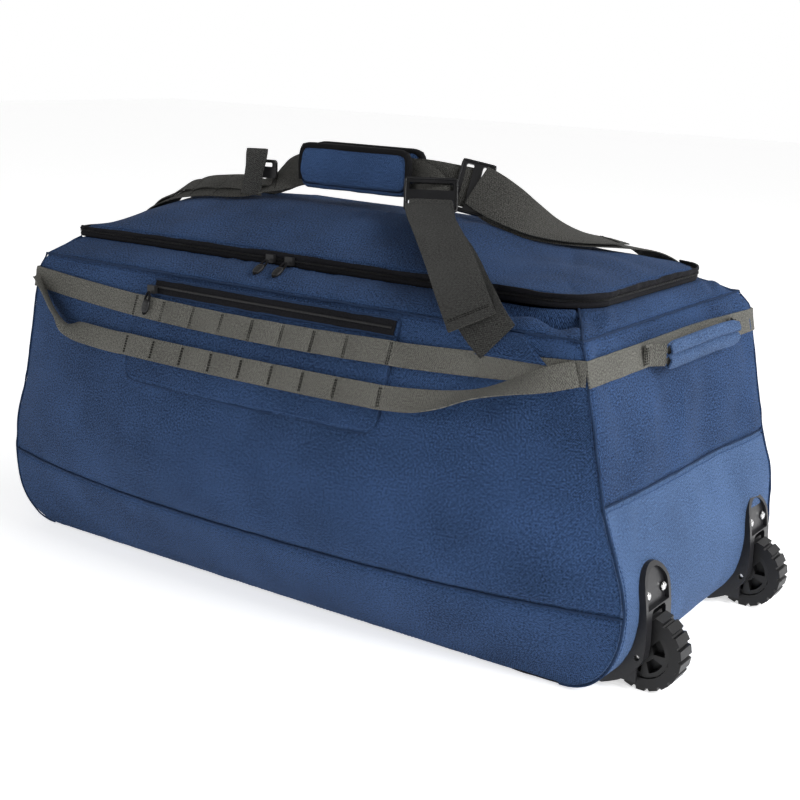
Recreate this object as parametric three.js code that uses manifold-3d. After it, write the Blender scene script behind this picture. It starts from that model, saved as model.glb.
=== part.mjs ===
// Rolling duffel bag, 120 litre class, millimetres, +Z up.
// The bag is built around its own middle: X runs towards the wheels, -Y is the front with the pocket.
// The last lines move the whole group so that the box around it is centred on X and Y.
import * as THREE from "three";
import { mergeVertices } from "three/addons/utils/BufferGeometryUtils.js";
import Module from "manifold-3d";

const wasm = await Module();
wasm.setup();

// ---- Driving dimensions: the shell ----
const HALF_FLOOR = 366; // half length of the flat bottom
const HALF_WIDE = 430; // half length at the widest height
const HALF_SHOULDER = 399.5; // half length at the top of the padded wheel end panel
const HALF_TOP = 366; // half length at the top seams
const FLOOR_Z = 2.5; // underside of the base, above the skid rails
const WIDE_Z = 85;
const BASE_SEAM_Z = 88; // seam between the base tub and the upper panels
const PAD_TOP_Z = 193; // top edge of the padded wheel end panel
const TOP_Z = 346; // top edge of the upright panels
const HALF_WIDTH = 194; // half width at the corner seams
const BELLY = 60; // how far the packed front and back stand out in the middle
const BELLY_TOP = 6; // how far the top seams bow out
const WALL = 3;
const GAP = 0.3; // clearance between pieces that touch
// ---- Driving dimensions: lid ----
const ZIP_X = 345; // half length of the zipped opening
const ZIP_Y = 152; // half width of the zipped opening
const ZIP_SEAM_Z = 370; // where the collar meets the zip
const ZIP_LINE_Z = 376; // the teeth
const LID_EDGE_Z = 381;
const LID_CROWN = 44;
const TAPE = 1.5; // thickness of zip tape
// ---- Driving dimensions: webbing ----
const NARROW_WEBBING = 25;
const WIDE_WEBBING = 50;
const WEBBING = 1.8; // thickness
const ROW_HALF = 178; // half length of the pocket and its rows
const ROW_X = -11; // middle of the pocket
// ---- Driving dimensions: wheels ----
const WHEEL_R = 40;
const WHEEL_WIDTH = 26;
const WHEEL_X = 433;
const WHEEL_Y = 137;
const AXLE_R = 3;
const SLOT_HALF = 16; // half width of the slot in the housing
const HOUSING_HALF = 29;
const HOUSING_TOP_Z = 131;
const LUGS = 18;

// ---- Colours ----
const FABRIC = { color: 0x35486a, roughness: 0.85, metalness: 0 };
const PAD_FABRIC = { color: 0x4a6287, roughness: 0.85, metalness: 0 };
const GREY_WEBBING = { color: 0x5e5e58, roughness: 0.8, metalness: 0 };
const BLACK_TAPE = { color: 0x1e1d1f, roughness: 0.75, metalness: 0 };
const BLACK_PLASTIC = { color: 0x1a1a1b, roughness: 0.45, metalness: 0 };
const BLACK_RUBBER = { color: 0x232323, roughness: 0.7, metalness: 0 };
const STEEL = { color: 0xb8bcc0, roughness: 0.25, metalness: 1 };
const BOARD = { color: 0x2b2b2b, roughness: 0.6, metalness: 0 };

const bag = new THREE.Group();

function add(name, geometry, look) {
  const mesh = new THREE.Mesh(geometry, new THREE.MeshStandardMaterial(look));
  mesh.name = name;
  bag.add(mesh);
  return mesh;
}

// ---- Shape helpers ----

// A closed body through rings of points. Each ring has an even number of points, and its two ends are
// closed by joining its first half to its second half. With sameDiagonals, both sides of a thin twisted
// body are split the same way, so that its thickness stays even.
function loft(rings, sameDiagonals = false) {
  const count = rings[0].length;
  const faces = [];
  const quad = (a, b, c, d) => faces.push([a, b, c], [a, c, d]);
  for (let ring = 0; ring + 1 < rings.length; ring++) {
    const here = ring * count;
    const there = here + count;
    for (let j = 0; j < count; j++) {
      const next = (j + 1) % count;
      if (sameDiagonals && j >= count / 2) quad(there + j, there + next, here + next, here + j);
      else quad(here + j, there + j, there + next, here + next);
    }
  }
  const last = (rings.length - 1) * count;
  for (let j = 0; j < count / 2 - 1; j++) {
    const far = count - 1 - j;
    quad(j, j + 1, far - 1, far);
    quad(last + j, last + far, last + far - 1, last + j + 1);
  }
  const points = rings.flat().map((p) => new THREE.Vector3(...p));
  const volume = faces.reduce((sum, [a, b, c]) => {
    return sum + points[a].dot(points[b].clone().cross(points[c]));
  }, 0);
  const outward = volume < 0 ? faces.map(([a, b, c]) => [a, c, b]) : faces;
  const geometry = new THREE.BufferGeometry().setFromPoints(points);
  geometry.setIndex(outward.flat());
  return geometry;
}

// A sheet given by a point for each u and v from 0 to 1, thickened by the offset.
function slab(pointAt, offset, columns, rows) {
  const rings = [];
  for (let i = 0; i <= columns; i++) {
    const outer = [];
    for (let j = 0; j <= rows; j++) outer.push(pointAt(i / columns, j / rows));
    const inner = outer.map(([x, y, z]) => [x + offset[0], y + offset[1], z + offset[2]]);
    rings.push([...outer, ...inner.reverse()]);
  }
  return loft(rings);
}

// Flat webbing along a smooth route. Each stop says where the middle is, which way the width runs, and
// how wide it is.
function ribbon(stops, thickness, steps) {
  const curve = new THREE.CatmullRomCurve3(
    stops.map((stop) => new THREE.Vector3(...stop.at)),
    false,
    "centripetal",
  );
  const rings = [];
  for (let i = 0; i <= steps; i++) {
    const t = i / steps;
    const place = t * (stops.length - 1);
    const from = Math.min(Math.floor(place), stops.length - 2);
    const share = place - from;
    const tangent = curve.getTangent(t);
    const across = new THREE.Vector3(...stops[from].across).normalize();
    across.lerp(new THREE.Vector3(...stops[from + 1].across).normalize(), share);
    across.addScaledVector(tangent, -across.dot(tangent)).normalize();
    const normal = tangent.clone().cross(across);
    const half = THREE.MathUtils.lerp(stops[from].wide, stops[from + 1].wide, share) / 2;
    const middle = curve.getPoint(t);
    const corner = (a, b) =>
      middle
        .clone()
        .addScaledVector(across, a * half)
        .addScaledVector(normal, (b * thickness) / 2)
        .toArray();
    rings.push([corner(-1, -1), corner(1, -1), corner(1, 1), corner(-1, 1)]);
  }
  return loft(rings, true);
}

// Solids for cutting and joining.
function solid(geometry) {
  const bare = geometry.index ? geometry.toNonIndexed() : geometry.clone();
  bare.deleteAttribute("normal");
  bare.deleteAttribute("uv");
  const merged = mergeVertices(bare, 1e-4);
  return new wasm.Manifold(
    new wasm.Mesh({
      numProp: 3,
      vertProperties: new Float32Array(merged.attributes.position.array),
      triVerts: new Uint32Array(merged.index.array),
    }),
  );
}

function geometryOf(manifold) {
  const mesh = manifold.getMesh();
  const geometry = new THREE.BufferGeometry();
  geometry.setAttribute("position", new THREE.BufferAttribute(mesh.vertProperties, 3));
  geometry.setIndex(new THREE.BufferAttribute(mesh.triVerts, 1));
  return geometry;
}

// A box from its lowest to its highest corner.
function block(low, high) {
  const size = high.map((value, i) => value - low[i]);
  const centre = high.map((value, i) => (value + low[i]) / 2);
  return new THREE.BoxGeometry(...size).translate(...centre);
}

// A cylinder along Y.
function rodAlongY(radius, x, y, z, length, sides = 24) {
  return new THREE.CylinderGeometry(radius, radius, length, sides).translate(x, y, z);
}

// A shape drawn in X and Z, with its thickness along Y from yLow to yHigh.
function prismAlongY(shape, yLow, yHigh, segments = 8) {
  const geometry = new THREE.ExtrudeGeometry(shape, {
    depth: yHigh - yLow,
    bevelEnabled: false,
    curveSegments: segments,
  });
  return geometry.rotateX(Math.PI / 2).translate(0, yHigh, 0);
}

// A shape drawn in Y and Z, with its thickness along X from xLow to xHigh.
function prismAlongX(shape, xLow, xHigh, segments = 10) {
  const geometry = new THREE.ExtrudeGeometry(shape, {
    depth: xHigh - xLow,
    bevelEnabled: false,
    curveSegments: segments,
  });
  const turn = new THREE.Matrix4().makeBasis(
    new THREE.Vector3(0, 1, 0),
    new THREE.Vector3(0, 0, 1),
    new THREE.Vector3(1, 0, 0),
  );
  return geometry.applyMatrix4(turn).translate(xLow, 0, 0);
}

function roundedRectangle(width, height, radius, middleX = 0, middleY = 0) {
  const x = width / 2;
  const y = height / 2;
  const shape = new THREE.Shape();
  shape.absarc(middleX + x - radius, middleY + y - radius, radius, 0, Math.PI / 2);
  shape.absarc(middleX - x + radius, middleY + y - radius, radius, Math.PI / 2, Math.PI);
  shape.absarc(middleX - x + radius, middleY - y + radius, radius, Math.PI, 1.5 * Math.PI);
  shape.absarc(middleX + x - radius, middleY - y + radius, radius, 1.5 * Math.PI, 2 * Math.PI);
  shape.closePath();
  return shape;
}

// ---- The bag's outline, seen from the front ----

// Half of the outline, from the flat bottom up to the top seam, as points [x, z] and their distances.
const endCurve = new THREE.CurvePath();
const flat = (x, z) => new THREE.Vector2(x, z);
endCurve.add(
  new THREE.CubicBezierCurve(
    flat(HALF_FLOOR, FLOOR_Z),
    flat(HALF_FLOOR + 42, FLOOR_Z),
    flat(HALF_WIDE, 38),
    flat(HALF_WIDE, WIDE_Z),
  ),
);
endCurve.add(
  new THREE.CubicBezierCurve(
    flat(HALF_WIDE, WIDE_Z),
    flat(HALF_WIDE, WIDE_Z + 35),
    flat(HALF_SHOULDER + 8, PAD_TOP_Z - 33),
    flat(HALF_SHOULDER, PAD_TOP_Z),
  ),
);
endCurve.add(
  new THREE.CubicBezierCurve(
    flat(HALF_SHOULDER, PAD_TOP_Z),
    flat(HALF_SHOULDER - 7, PAD_TOP_Z + 32),
    flat(HALF_TOP + 12, TOP_Z - 56),
    flat(HALF_TOP, TOP_Z),
  ),
);
const endPoints = endCurve.getPoints(30);
const endArcs = [0];
for (let i = 1; i < endPoints.length; i++) {
  endArcs.push(endArcs[i - 1] + endPoints[i].distanceTo(endPoints[i - 1]));
}

function lookUp(keys, values, key) {
  let i = 1;
  while (i < keys.length - 1 && keys[i] < key) i++;
  const share = (key - keys[i - 1]) / (keys[i] - keys[i - 1]);
  return THREE.MathUtils.lerp(values[i - 1], values[i], share);
}

const endHeights = endPoints.map((p) => p.y);
const endLengths = endPoints.map((p) => p.x);
const halfLengthAt = (z) => lookUp(endHeights, endLengths, z);
const arcAtHeight = (z) => lookUp(endHeights, endArcs, z);

// A point of the outline at a distance along it, moved inwards by the inset.
function outlinePoint(arc, inset) {
  const at = (s) => flat(lookUp(endArcs, endLengths, s), lookUp(endArcs, endHeights, s));
  const along = at(arc + 0.5).sub(at(arc - 0.5)).normalize();
  return at(arc).add(flat(-along.y, along.x).multiplyScalar(inset));
}

function outlineBetween(zLow, zHigh, inset, steps) {
  const low = arcAtHeight(zLow);
  const high = arcAtHeight(zHigh);
  const points = [];
  for (let i = 0; i <= steps; i++) {
    points.push(outlinePoint(THREE.MathUtils.lerp(low, high, i / steps), inset));
  }
  return points;
}

// How far the packed bag stands out of the plane of its corner seams.
function bulge(x, z) {
  const up = THREE.MathUtils.clamp(z / (TOP_Z + WALL), 0, 1);
  const along = 1 - Math.min(1, Math.abs(x) / halfLengthAt(Math.min(z, TOP_Z))) ** 2.5;
  return (BELLY * Math.sin(Math.PI * up ** 0.88) + BELLY_TOP * up) * along;
}

// ---- Shell panels ----

// A long panel between two heights. side is -1 at the front and 1 at the back.
function longPanel(side, zLow, zHigh, columns, rows) {
  const heights = outlineBetween(zLow, zHigh, 0, rows);
  const pointAt = (u, v) => {
    const { x: half, y: z } = heights[Math.round(v * rows)];
    const x = (2 * u - 1) * half;
    return [x, side * (HALF_WIDTH + bulge(x, z)), z];
  };
  return slab(pointAt, [0, -side * WALL, 0], columns, rows);
}

// A wall across one end, from one long panel to the other. end is 1 at the wheels and -1 at the far end.
function endWall(end, zLow, zHigh, inset, thickness, yLow, yHigh, steps) {
  const outer = outlineBetween(zLow, zHigh, inset, steps);
  const inner = outlineBetween(zLow, zHigh, inset + thickness, steps).reverse();
  const ringAt = (y) => [...outer, ...inner].map((p) => [end * p.x, y, p.y]);
  return loft([ringAt(yLow), ringAt(yHigh)]);
}

const INNER_HALF_WIDTH = HALF_WIDTH - WALL - GAP;

add("front_panel", longPanel(-1, BASE_SEAM_Z + GAP, TOP_Z, 20, 6), FABRIC);
add("back_panel", longPanel(1, BASE_SEAM_Z + GAP, TOP_Z, 20, 6), FABRIC);
add("front_base", longPanel(-1, FLOOR_Z, BASE_SEAM_Z, 16, 4), FABRIC);
add("back_base", longPanel(1, FLOOR_Z, BASE_SEAM_Z, 16, 4), FABRIC);

const floorHalf = HALF_FLOOR - GAP;
add(
  "base_floor",
  block([-floorHalf, -INNER_HALF_WIDTH, FLOOR_Z], [floorHalf, INNER_HALF_WIDTH, FLOOR_Z + WALL]),
  FABRIC,
);
const BOARD_HALF_LENGTH = 352;
const BOARD_HALF_WIDTH = 184;
const BOARD_Z = FLOOR_Z + WALL + 0.5;
add(
  "base_board",
  block(
    [-BOARD_HALF_LENGTH, -BOARD_HALF_WIDTH, BOARD_Z],
    [BOARD_HALF_LENGTH, BOARD_HALF_WIDTH, BOARD_Z + WALL],
  ),
  BOARD,
);

const endSpan = [-INNER_HALF_WIDTH, INNER_HALF_WIDTH];
add("wheel_end_panel", endWall(1, PAD_TOP_Z + GAP, TOP_Z, 0, WALL, ...endSpan, 8), FABRIC);
add("far_end_panel", endWall(-1, FLOOR_Z, TOP_Z, 0, WALL, ...endSpan, 18), FABRIC);

// The padded panel and the stiffener behind it are cut out around the two wheel wells and the rivets.
const WELL_HALF = SLOT_HALF + 3.5;
const WELL_TOP_Z = 90;
const WELL_BACK_X = 388;
const RIVET_Z = 101;
const RIVET_HALF_SPACING = 18;
const RIVET_R = 2.2;
const sides = { front: -WHEEL_Y, rear: WHEEL_Y };

function cutForWheels(geometry) {
  let body = solid(geometry);
  for (const y of Object.values(sides)) {
    const low = [WELL_BACK_X - 2, y - WELL_HALF - 0.5, -5];
    const high = [HALF_WIDE + 30, y + WELL_HALF + 0.5, WELL_TOP_Z + 0.5];
    body = body.subtract(solid(block(low, high)));
    for (const step of [-RIVET_HALF_SPACING, RIVET_HALF_SPACING]) {
      body = body.subtract(solid(rivetShank(y + step, RIVET_R + GAP)));
    }
  }
  return geometryOf(body);
}

function rivetShank(y, radius) {
  return new THREE.CylinderGeometry(radius, radius, 40, 10)
    .rotateZ(Math.PI / 2)
    .translate(HALF_WIDE - 4, y, RIVET_Z);
}

add(
  "wheel_end_pad",
  cutForWheels(endWall(1, FLOOR_Z, PAD_TOP_Z, 0, WALL, ...endSpan, 14)),
  PAD_FABRIC,
);
const STIFFENER_INSET = WALL + 0.6;
const STIFFENER_HALF_WIDTH = 180;
add(
  "wheel_end_stiffener",
  cutForWheels(
    endWall(1, 34, 184, STIFFENER_INSET, 2, -STIFFENER_HALF_WIDTH, STIFFENER_HALF_WIDTH, 12),
  ),
  BOARD,
);

// ---- Collar around the opening ----

const COLLAR_SEAM_Z = TOP_Z + GAP + WALL;
const COLLAR_INNER_X = ZIP_X + TAPE + GAP;
const COLLAR_INNER_Y = ZIP_Y + TAPE + GAP;
const MITRE = 0.5; // each strip stops this short of the corner line

function longCollar(side) {
  const pointAt = (u, v) => {
    const halfSeam = HALF_TOP - 2 - MITRE;
    const half = THREE.MathUtils.lerp(halfSeam, COLLAR_INNER_X - MITRE, v);
    const x = (2 * u - 1) * half;
    const seamY = HALF_WIDTH + bulge(x, COLLAR_SEAM_Z);
    const y = THREE.MathUtils.lerp(seamY, COLLAR_INNER_Y, v);
    return [x, side * y, THREE.MathUtils.lerp(COLLAR_SEAM_Z, ZIP_SEAM_Z, v)];
  };
  return slab(pointAt, [0, 0, -WALL], 20, 2);
}

function endCollar(end) {
  const pointAt = (u, v) => {
    const half = THREE.MathUtils.lerp(HALF_WIDTH - 2 * MITRE, COLLAR_INNER_Y - 2 * MITRE, v);
    const x = THREE.MathUtils.lerp(HALF_TOP - 2, COLLAR_INNER_X, v);
    return [end * x, (2 * u - 1) * half, THREE.MathUtils.lerp(COLLAR_SEAM_Z, ZIP_SEAM_Z, v)];
  };
  return slab(pointAt, [0, 0, -WALL], 4, 2);
}

add("collar_front", longCollar(-1), FABRIC);
add("collar_back", longCollar(1), FABRIC);
add("collar_wheel_end", endCollar(1), FABRIC);
add("collar_far_end", endCollar(-1), FABRIC);

// A zip tape along the far end, the front and the wheel end of the opening.
function zipTape(zLow, zHigh) {
  const stopY = ZIP_Y - 6;
  const corners = [
    [-1, 0, -ZIP_X, stopY],
    [-1, -1, -ZIP_X, -ZIP_Y],
    [1, -1, ZIP_X, -ZIP_Y],
    [1, 0, ZIP_X, stopY],
  ];
  const ringAt = ([outX, outY, x, y]) => [
    [x, y, zLow],
    [x, y, zHigh],
    [x + outX * TAPE, y + outY * TAPE, zHigh],
    [x + outX * TAPE, y + outY * TAPE, zLow],
  ];
  return loft(corners.map(ringAt));
}
const TAPE_HEIGHT = 8;
const TEETH_GAP = 0.25;
// The back of the opening has no zip: the lid is sewn on along a folded seam, which it turns about.
const HINGE_Z = 380;
add(
  "lid_hinge_seam",
  block([-ZIP_X + 2, ZIP_Y, ZIP_SEAM_Z - 4], [ZIP_X - 2, ZIP_Y + TAPE, HINGE_Z]),
  BLACK_TAPE,
);
add("opening_zip_tape", zipTape(ZIP_LINE_Z - 10, ZIP_LINE_Z - TEETH_GAP), BLACK_TAPE);

// ---- Skid rails ----

const RAIL_HALF_LENGTH = 330;
const RAIL_WIDTH = 22;
const RAIL_Y = 118;
for (const [name, y] of [["front", -RAIL_Y], ["rear", RAIL_Y]]) {
  const low = [-RAIL_HALF_LENGTH, y - RAIL_WIDTH / 2, 0];
  const high = [RAIL_HALF_LENGTH, y + RAIL_WIDTH / 2, FLOOR_Z - GAP];
  add("skid_rail_" + name, block(low, high), BLACK_PLASTIC);
}

// ---- Front pocket and webbing rows ----

// A patch lying on the front or back panel. lift is the clearance under it.
function patch(side, xLow, xHigh, zMiddle, height, lift, thickness, columns, rows = 2) {
  const pointAt = (u, v) => {
    const x = THREE.MathUtils.lerp(xLow, xHigh, u);
    const z = zMiddle(x) + (v - 0.5) * height;
    return [x, side * (HALF_WIDTH + bulge(x, z) + lift + thickness), z];
  };
  return slab(pointAt, [0, -side * thickness, 0], columns, rows);
}

const POCKET_LOW_Z = 230;
const POCKET_HIGH_Z = 343;
const POCKET_THICKNESS = 1.6;
const pocketLeft = ROW_X - ROW_HALF;
const pocketRight = ROW_X + ROW_HALF;
const pocketMiddle = () => (POCKET_LOW_Z + POCKET_HIGH_Z) / 2;
add(
  "pocket_panel",
  patch(
    -1,
    pocketLeft,
    pocketRight,
    pocketMiddle,
    POCKET_HIGH_Z - POCKET_LOW_Z,
    0.5,
    POCKET_THICKNESS,
    12,
    4,
  ),
  FABRIC,
);
const POCKET_ZIP_Z = 333;
const POCKET_TAPE_HEIGHT = 14;
const ON_POCKET = 0.5 + POCKET_THICKNESS + 0.5;
const zipMiddle = () => POCKET_ZIP_Z;
add(
  "pocket_zip_tape",
  patch(
    -1,
    pocketLeft + 16,
    pocketRight - 6,
    zipMiddle,
    POCKET_TAPE_HEIGHT,
    ON_POCKET,
    1,
    12,
    1,
  ),
  BLACK_TAPE,
);

const ROW_RISE = 21; // height that a sloping 25 mm webbing takes up
const rowTopMiddle = (x) => 307 + 12 * (x / HALF_TOP) ** 2;
const ROW_HALF_REACH = 370;
add(
  "webbing_upper_row",
  patch(-1, -ROW_HALF_REACH, ROW_HALF_REACH, rowTopMiddle, ROW_RISE, ON_POCKET, WEBBING, 20),
  GREY_WEBBING,
);

// The lower row lies on the pocket and runs on at both ends as a loose grab strap to the corner seam.
function frontStop(x, z, off, across) {
  return {
    at: [x, -(HALF_WIDTH + bulge(x, z) + off), z],
    across,
    wide: NARROW_WEBBING,
  };
}
const LOWER_ROW_Z = 267;
const upright = [0, 0.4, 1];
const ROW_OFF = ON_POCKET + 2.5;
add(
  "webbing_lower_row",
  ribbon(
    [
      frontStop(-362, 324, 13, [0.3, 0.2, 1]),
      frontStop(-330, 302, 17, [0.2, 1, 0.4]),
      frontStop(-262, 274, 14, [0, 0.8, 0.7]),
      frontStop(pocketLeft - 10, LOWER_ROW_Z, 8, upright),
      frontStop(-140, LOWER_ROW_Z, ROW_OFF, upright),
      frontStop(-60, LOWER_ROW_Z, ROW_OFF, upright),
      frontStop(40, LOWER_ROW_Z, ROW_OFF, upright),
      frontStop(120, LOWER_ROW_Z, ROW_OFF, upright),
      frontStop(pocketRight + 10, LOWER_ROW_Z, 8, upright),
      frontStop(240, 274, 14, [0, 0.7, 0.8]),
      frontStop(310, 298, 17, [-0.3, 1, 0.5]),
      frontStop(358, 322, 13, [-0.3, 0.2, 1]),
    ],
    WEBBING,
    33,
  ),
  GREY_WEBBING,
);

// The belt goes on around the wheel end, the back and the far end at the height of the upper row's ends.
const BELT_Z = 319;
const BELT_LIFT = 1.8;
const beltX = halfLengthAt(BELT_Z);
const beltLevels = [
  [BELT_LIFT, BELT_Z - NARROW_WEBBING / 2],
  [BELT_LIFT, BELT_Z + NARROW_WEBBING / 2],
  [BELT_LIFT + WEBBING, BELT_Z + NARROW_WEBBING / 2],
  [BELT_LIFT + WEBBING, BELT_Z - NARROW_WEBBING / 2],
];
const BELT_STEPS = 20;
const beltRings = [];
beltRings.push(beltLevels.map(([out, z]) => [halfLengthAt(z) + out, -HALF_WIDTH + 4, z]));
for (let i = 0; i <= BELT_STEPS; i++) {
  const share = 1 - (2 * i) / BELT_STEPS;
  const corner = Math.abs(share) === 1;
  beltRings.push(
    beltLevels.map(([out, z]) => {
      const x = share * (halfLengthAt(z) + (corner ? out : 0));
      return [x, HALF_WIDTH + bulge(x, z) + out, z];
    }),
  );
}
beltRings.push(beltLevels.map(([out, z]) => [-halfLengthAt(z) - out, -HALF_WIDTH + 4, z]));
add("webbing_belt", loft(beltRings), GREY_WEBBING);

// ---- End handles: a webbing loop with a folded padded sleeve ----

const HANDLE_Y = 25;
const HANDLE_HALF = 108; // from the middle of the handle to where its webbing is sewn down
const HANDLE_OFF = 22; // from the panel to the middle of the sleeve
const SLEEVE_HALF = 84;
const SLEEVE_LOW = 15.5; // how far the fold of the sleeve reaches below the webbing's middle
const SLEEVE_HIGH = 14;
const SLEEVE_THICK = 10.4;
const SLEEVE_WALL = 2.8;

function endHandle(end, label) {
  const slope = halfLengthAt(BELT_Z - 12) - halfLengthAt(BELT_Z + 12);
  const at = (y, off, tilt) => ({
    at: [end * (beltX + off), HANDLE_Y + y, BELT_Z],
    across: [-end * slope * tilt, 0, 24],
    wide: NARROW_WEBBING - 2,
  });
  const loop = ribbon(
    [
      at(-HANDLE_HALF, 5, 1),
      at(-HANDLE_HALF + 8, 6, 1),
      at(-SLEEVE_HALF - 3, HANDLE_OFF - 1, 0),
      at(-SLEEVE_HALF + 10, HANDLE_OFF, 0),
      at(SLEEVE_HALF - 10, HANDLE_OFF, 0),
      at(SLEEVE_HALF + 3, HANDLE_OFF - 1, 0),
      at(HANDLE_HALF - 8, 6, 1),
      at(HANDLE_HALF, 5, 1),
    ],
    WEBBING,
    21,
  );
  add(label + "_webbing", loop, GREY_WEBBING);
  // The sleeve is folded up around the webbing and is open along its top.
  const middle = end * (beltX + HANDLE_OFF);
  const half = SLEEVE_THICK / 2;
  const bevel = 2;
  const low = BELT_Z - SLEEVE_LOW;
  const high = BELT_Z + SLEEVE_HIGH;
  const channel = new THREE.Shape([
    flat(middle - half, high),
    flat(middle - half, low + bevel),
    flat(middle - half + bevel, low),
    flat(middle + half - bevel, low),
    flat(middle + half, low + bevel),
    flat(middle + half, high),
    flat(middle + half - SLEEVE_WALL, high),
    flat(middle + half - SLEEVE_WALL, low + SLEEVE_WALL),
    flat(middle - half + SLEEVE_WALL, low + SLEEVE_WALL),
    flat(middle - half + SLEEVE_WALL, high),
  ]);
  const sleeve = prismAlongY(channel, HANDLE_Y - SLEEVE_HALF, HANDLE_Y + SLEEVE_HALF);
  add(label + "_sleeve", sleeve, PAD_FABRIC);
}
endHandle(1, "haul_handle");
endHandle(-1, "far_handle");

// ---- Wheel housings, axles and wheels ----

// The housing hugs the rounded bottom corner and holds the axle in its two cheeks.
const housingOuter = new THREE.SplineCurve([
  flat(428, HOUSING_TOP_Z),
  flat(436, 111),
  flat(440, 85),
  flat(441, 60),
  flat(440, 40),
  flat(430, 24),
  flat(416, 12),
  flat(398, 4),
]).getPoints(14);
const housingInner = outlineBetween(6.5, HOUSING_TOP_Z, -0.5, 12);
const housingSide = new THREE.Shape([...housingOuter, ...housingInner]);

// An outline that is straight below and round on top, as seen from the wheel end.
function arch(half, topZ, y) {
  const shape = new THREE.Shape();
  shape.moveTo(y - half, -10);
  shape.lineTo(y + half, -10);
  shape.absarc(y, topZ - half, half, 0, Math.PI);
  shape.closePath();
  return shape;
}

function wheelHousing(y) {
  const plate = solid(prismAlongY(housingSide, y - HOUSING_HALF, y + HOUSING_HALF));
  const outline = solid(prismAlongX(arch(HOUSING_HALF, HOUSING_TOP_Z, y), 380, 460));
  // The recess around the rivets is a shallow tray.
  const trayFloor = outlineBetween(WELL_TOP_Z - 2, HOUSING_TOP_Z, -5, 6);
  const traySide = new THREE.Shape([
    ...trayFloor,
    flat(480, HOUSING_TOP_Z),
    flat(480, WELL_TOP_Z - 2),
  ]);
  const trayBlock = solid(prismAlongY(traySide, y - HOUSING_HALF, y + HOUSING_HALF));
  const trayArch = solid(prismAlongX(arch(HOUSING_HALF - 5, HOUSING_TOP_Z - 5, y), 380, 500));
  const tray = trayBlock.intersect(trayArch);
  const wellLow = [WELL_BACK_X, y - WELL_HALF, 9];
  const wellHigh = [HALF_WIDE, y + WELL_HALF, WELL_TOP_Z];
  const slotHeight = WELL_TOP_Z - 3 + 20;
  const slotShape = roundedRectangle(2 * SLOT_HALF, slotHeight, 6, y, slotHeight / 2 - 20);
  const slot = solid(prismAlongX(slotShape, WELL_BACK_X + 3, 500, 4));
  let body = plate.intersect(outline).subtract(tray).add(solid(block(wellLow, wellHigh)));
  body = body.subtract(slot);
  body = body.subtract(solid(rodAlongY(AXLE_R + 0.1, WHEEL_X, y, WHEEL_R, 80)));
  for (const step of [-RIVET_HALF_SPACING, RIVET_HALF_SPACING]) {
    body = body.subtract(solid(rivetShank(y + step, RIVET_R + GAP)));
  }
  return geometryOf(body);
}

// The plate inside the bag that the housing is riveted to, with its two rivets.
function backplate(y) {
  const inset = STIFFENER_INSET + 2 + 0.4;
  let body = solid(endWall(1, WELL_TOP_Z + 2, 122, inset, 2, y - 26, y + 26, 5));
  const headX = outlinePoint(arcAtHeight(RIVET_Z), -5.9).x;
  for (const step of [-RIVET_HALF_SPACING, RIVET_HALF_SPACING]) {
    const rootX = headX - 14;
    const profile = [
      flat(0, 0),
      flat(RIVET_R, 0),
      flat(RIVET_R, 14.2),
      flat(5, 14.2),
      flat(4.6, 15.4),
      flat(3, 16.6),
      flat(0, 17),
    ];
    const rivet = new THREE.LatheGeometry(profile, 12)
      .rotateZ(-Math.PI / 2)
      .translate(rootX, y + step, RIVET_Z);
    body = body.add(solid(rivet));
  }
  return geometryOf(body);
}

function axle(y) {
  const half = HOUSING_HALF - 4;
  const profile = [
    flat(0, -half),
    flat(AXLE_R - 0.6, -half),
    flat(AXLE_R, -half + 0.6),
    flat(AXLE_R, half - 0.6),
    flat(AXLE_R - 0.6, half),
    flat(0, half),
  ];
  return new THREE.LatheGeometry(profile, 20).translate(WHEEL_X, y, WHEEL_R);
}

const TYRE_INNER_R = 27.3;
const HUB_R = 27;
const GROOVE = 3.2; // depth of the tread between lugs

// The tread's outline: LUGS blocks with sloping sides, one of them straight down.
function tyre(y) {
  const shape = new THREE.Shape();
  const step = (2 * Math.PI) / LUGS;
  const lugEdges = [
    [-0.32, WHEEL_R],
    [0.32, WHEEL_R],
    [0.42, WHEEL_R - GROOVE],
    [0.58, WHEEL_R - GROOVE],
  ];
  for (let i = 0; i < LUGS; i++) {
    for (const [share, radius] of lugEdges) {
      const angle = -Math.PI / 2 + (i + share) * step;
      const x = radius * Math.cos(angle);
      // The lug that stands on the ground is flat, so that the wheel touches along it.
      const z = i === 0 && radius === WHEEL_R ? -WHEEL_R : radius * Math.sin(angle);
      if (i === 0 && share === -0.32) shape.moveTo(x, z);
      else shape.lineTo(x, z);
    }
  }
  shape.closePath();
  const hole = new THREE.Path();
  hole.absarc(0, 0, TYRE_INNER_R, 0, 2 * Math.PI, true);
  shape.holes.push(hole);
  const half = WHEEL_WIDTH / 2;
  return prismAlongY(shape, -half, half, 12).translate(WHEEL_X, y, WHEEL_R);
}

const SPOKES = 5;
function hub(y) {
  const shape = new THREE.Shape();
  shape.absarc(0, 0, HUB_R, 0, 2 * Math.PI);
  const bore = new THREE.Path();
  bore.absarc(0, 0, AXLE_R + 0.1, 0, 2 * Math.PI, true);
  shape.holes.push(bore);
  for (let i = 0; i < SPOKES; i++) {
    const window = new THREE.Path();
    const from = (i * 2 * Math.PI) / SPOKES;
    const to = from + 0.85;
    window.absarc(0, 0, 22, from, to, false);
    window.absarc(0, 0, 10, to, from, true);
    window.closePath();
    shape.holes.push(window);
  }
  const half = WHEEL_WIDTH / 2 - 2;
  return prismAlongY(shape, -half, half, 7).translate(WHEEL_X, y, WHEEL_R);
}

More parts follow.
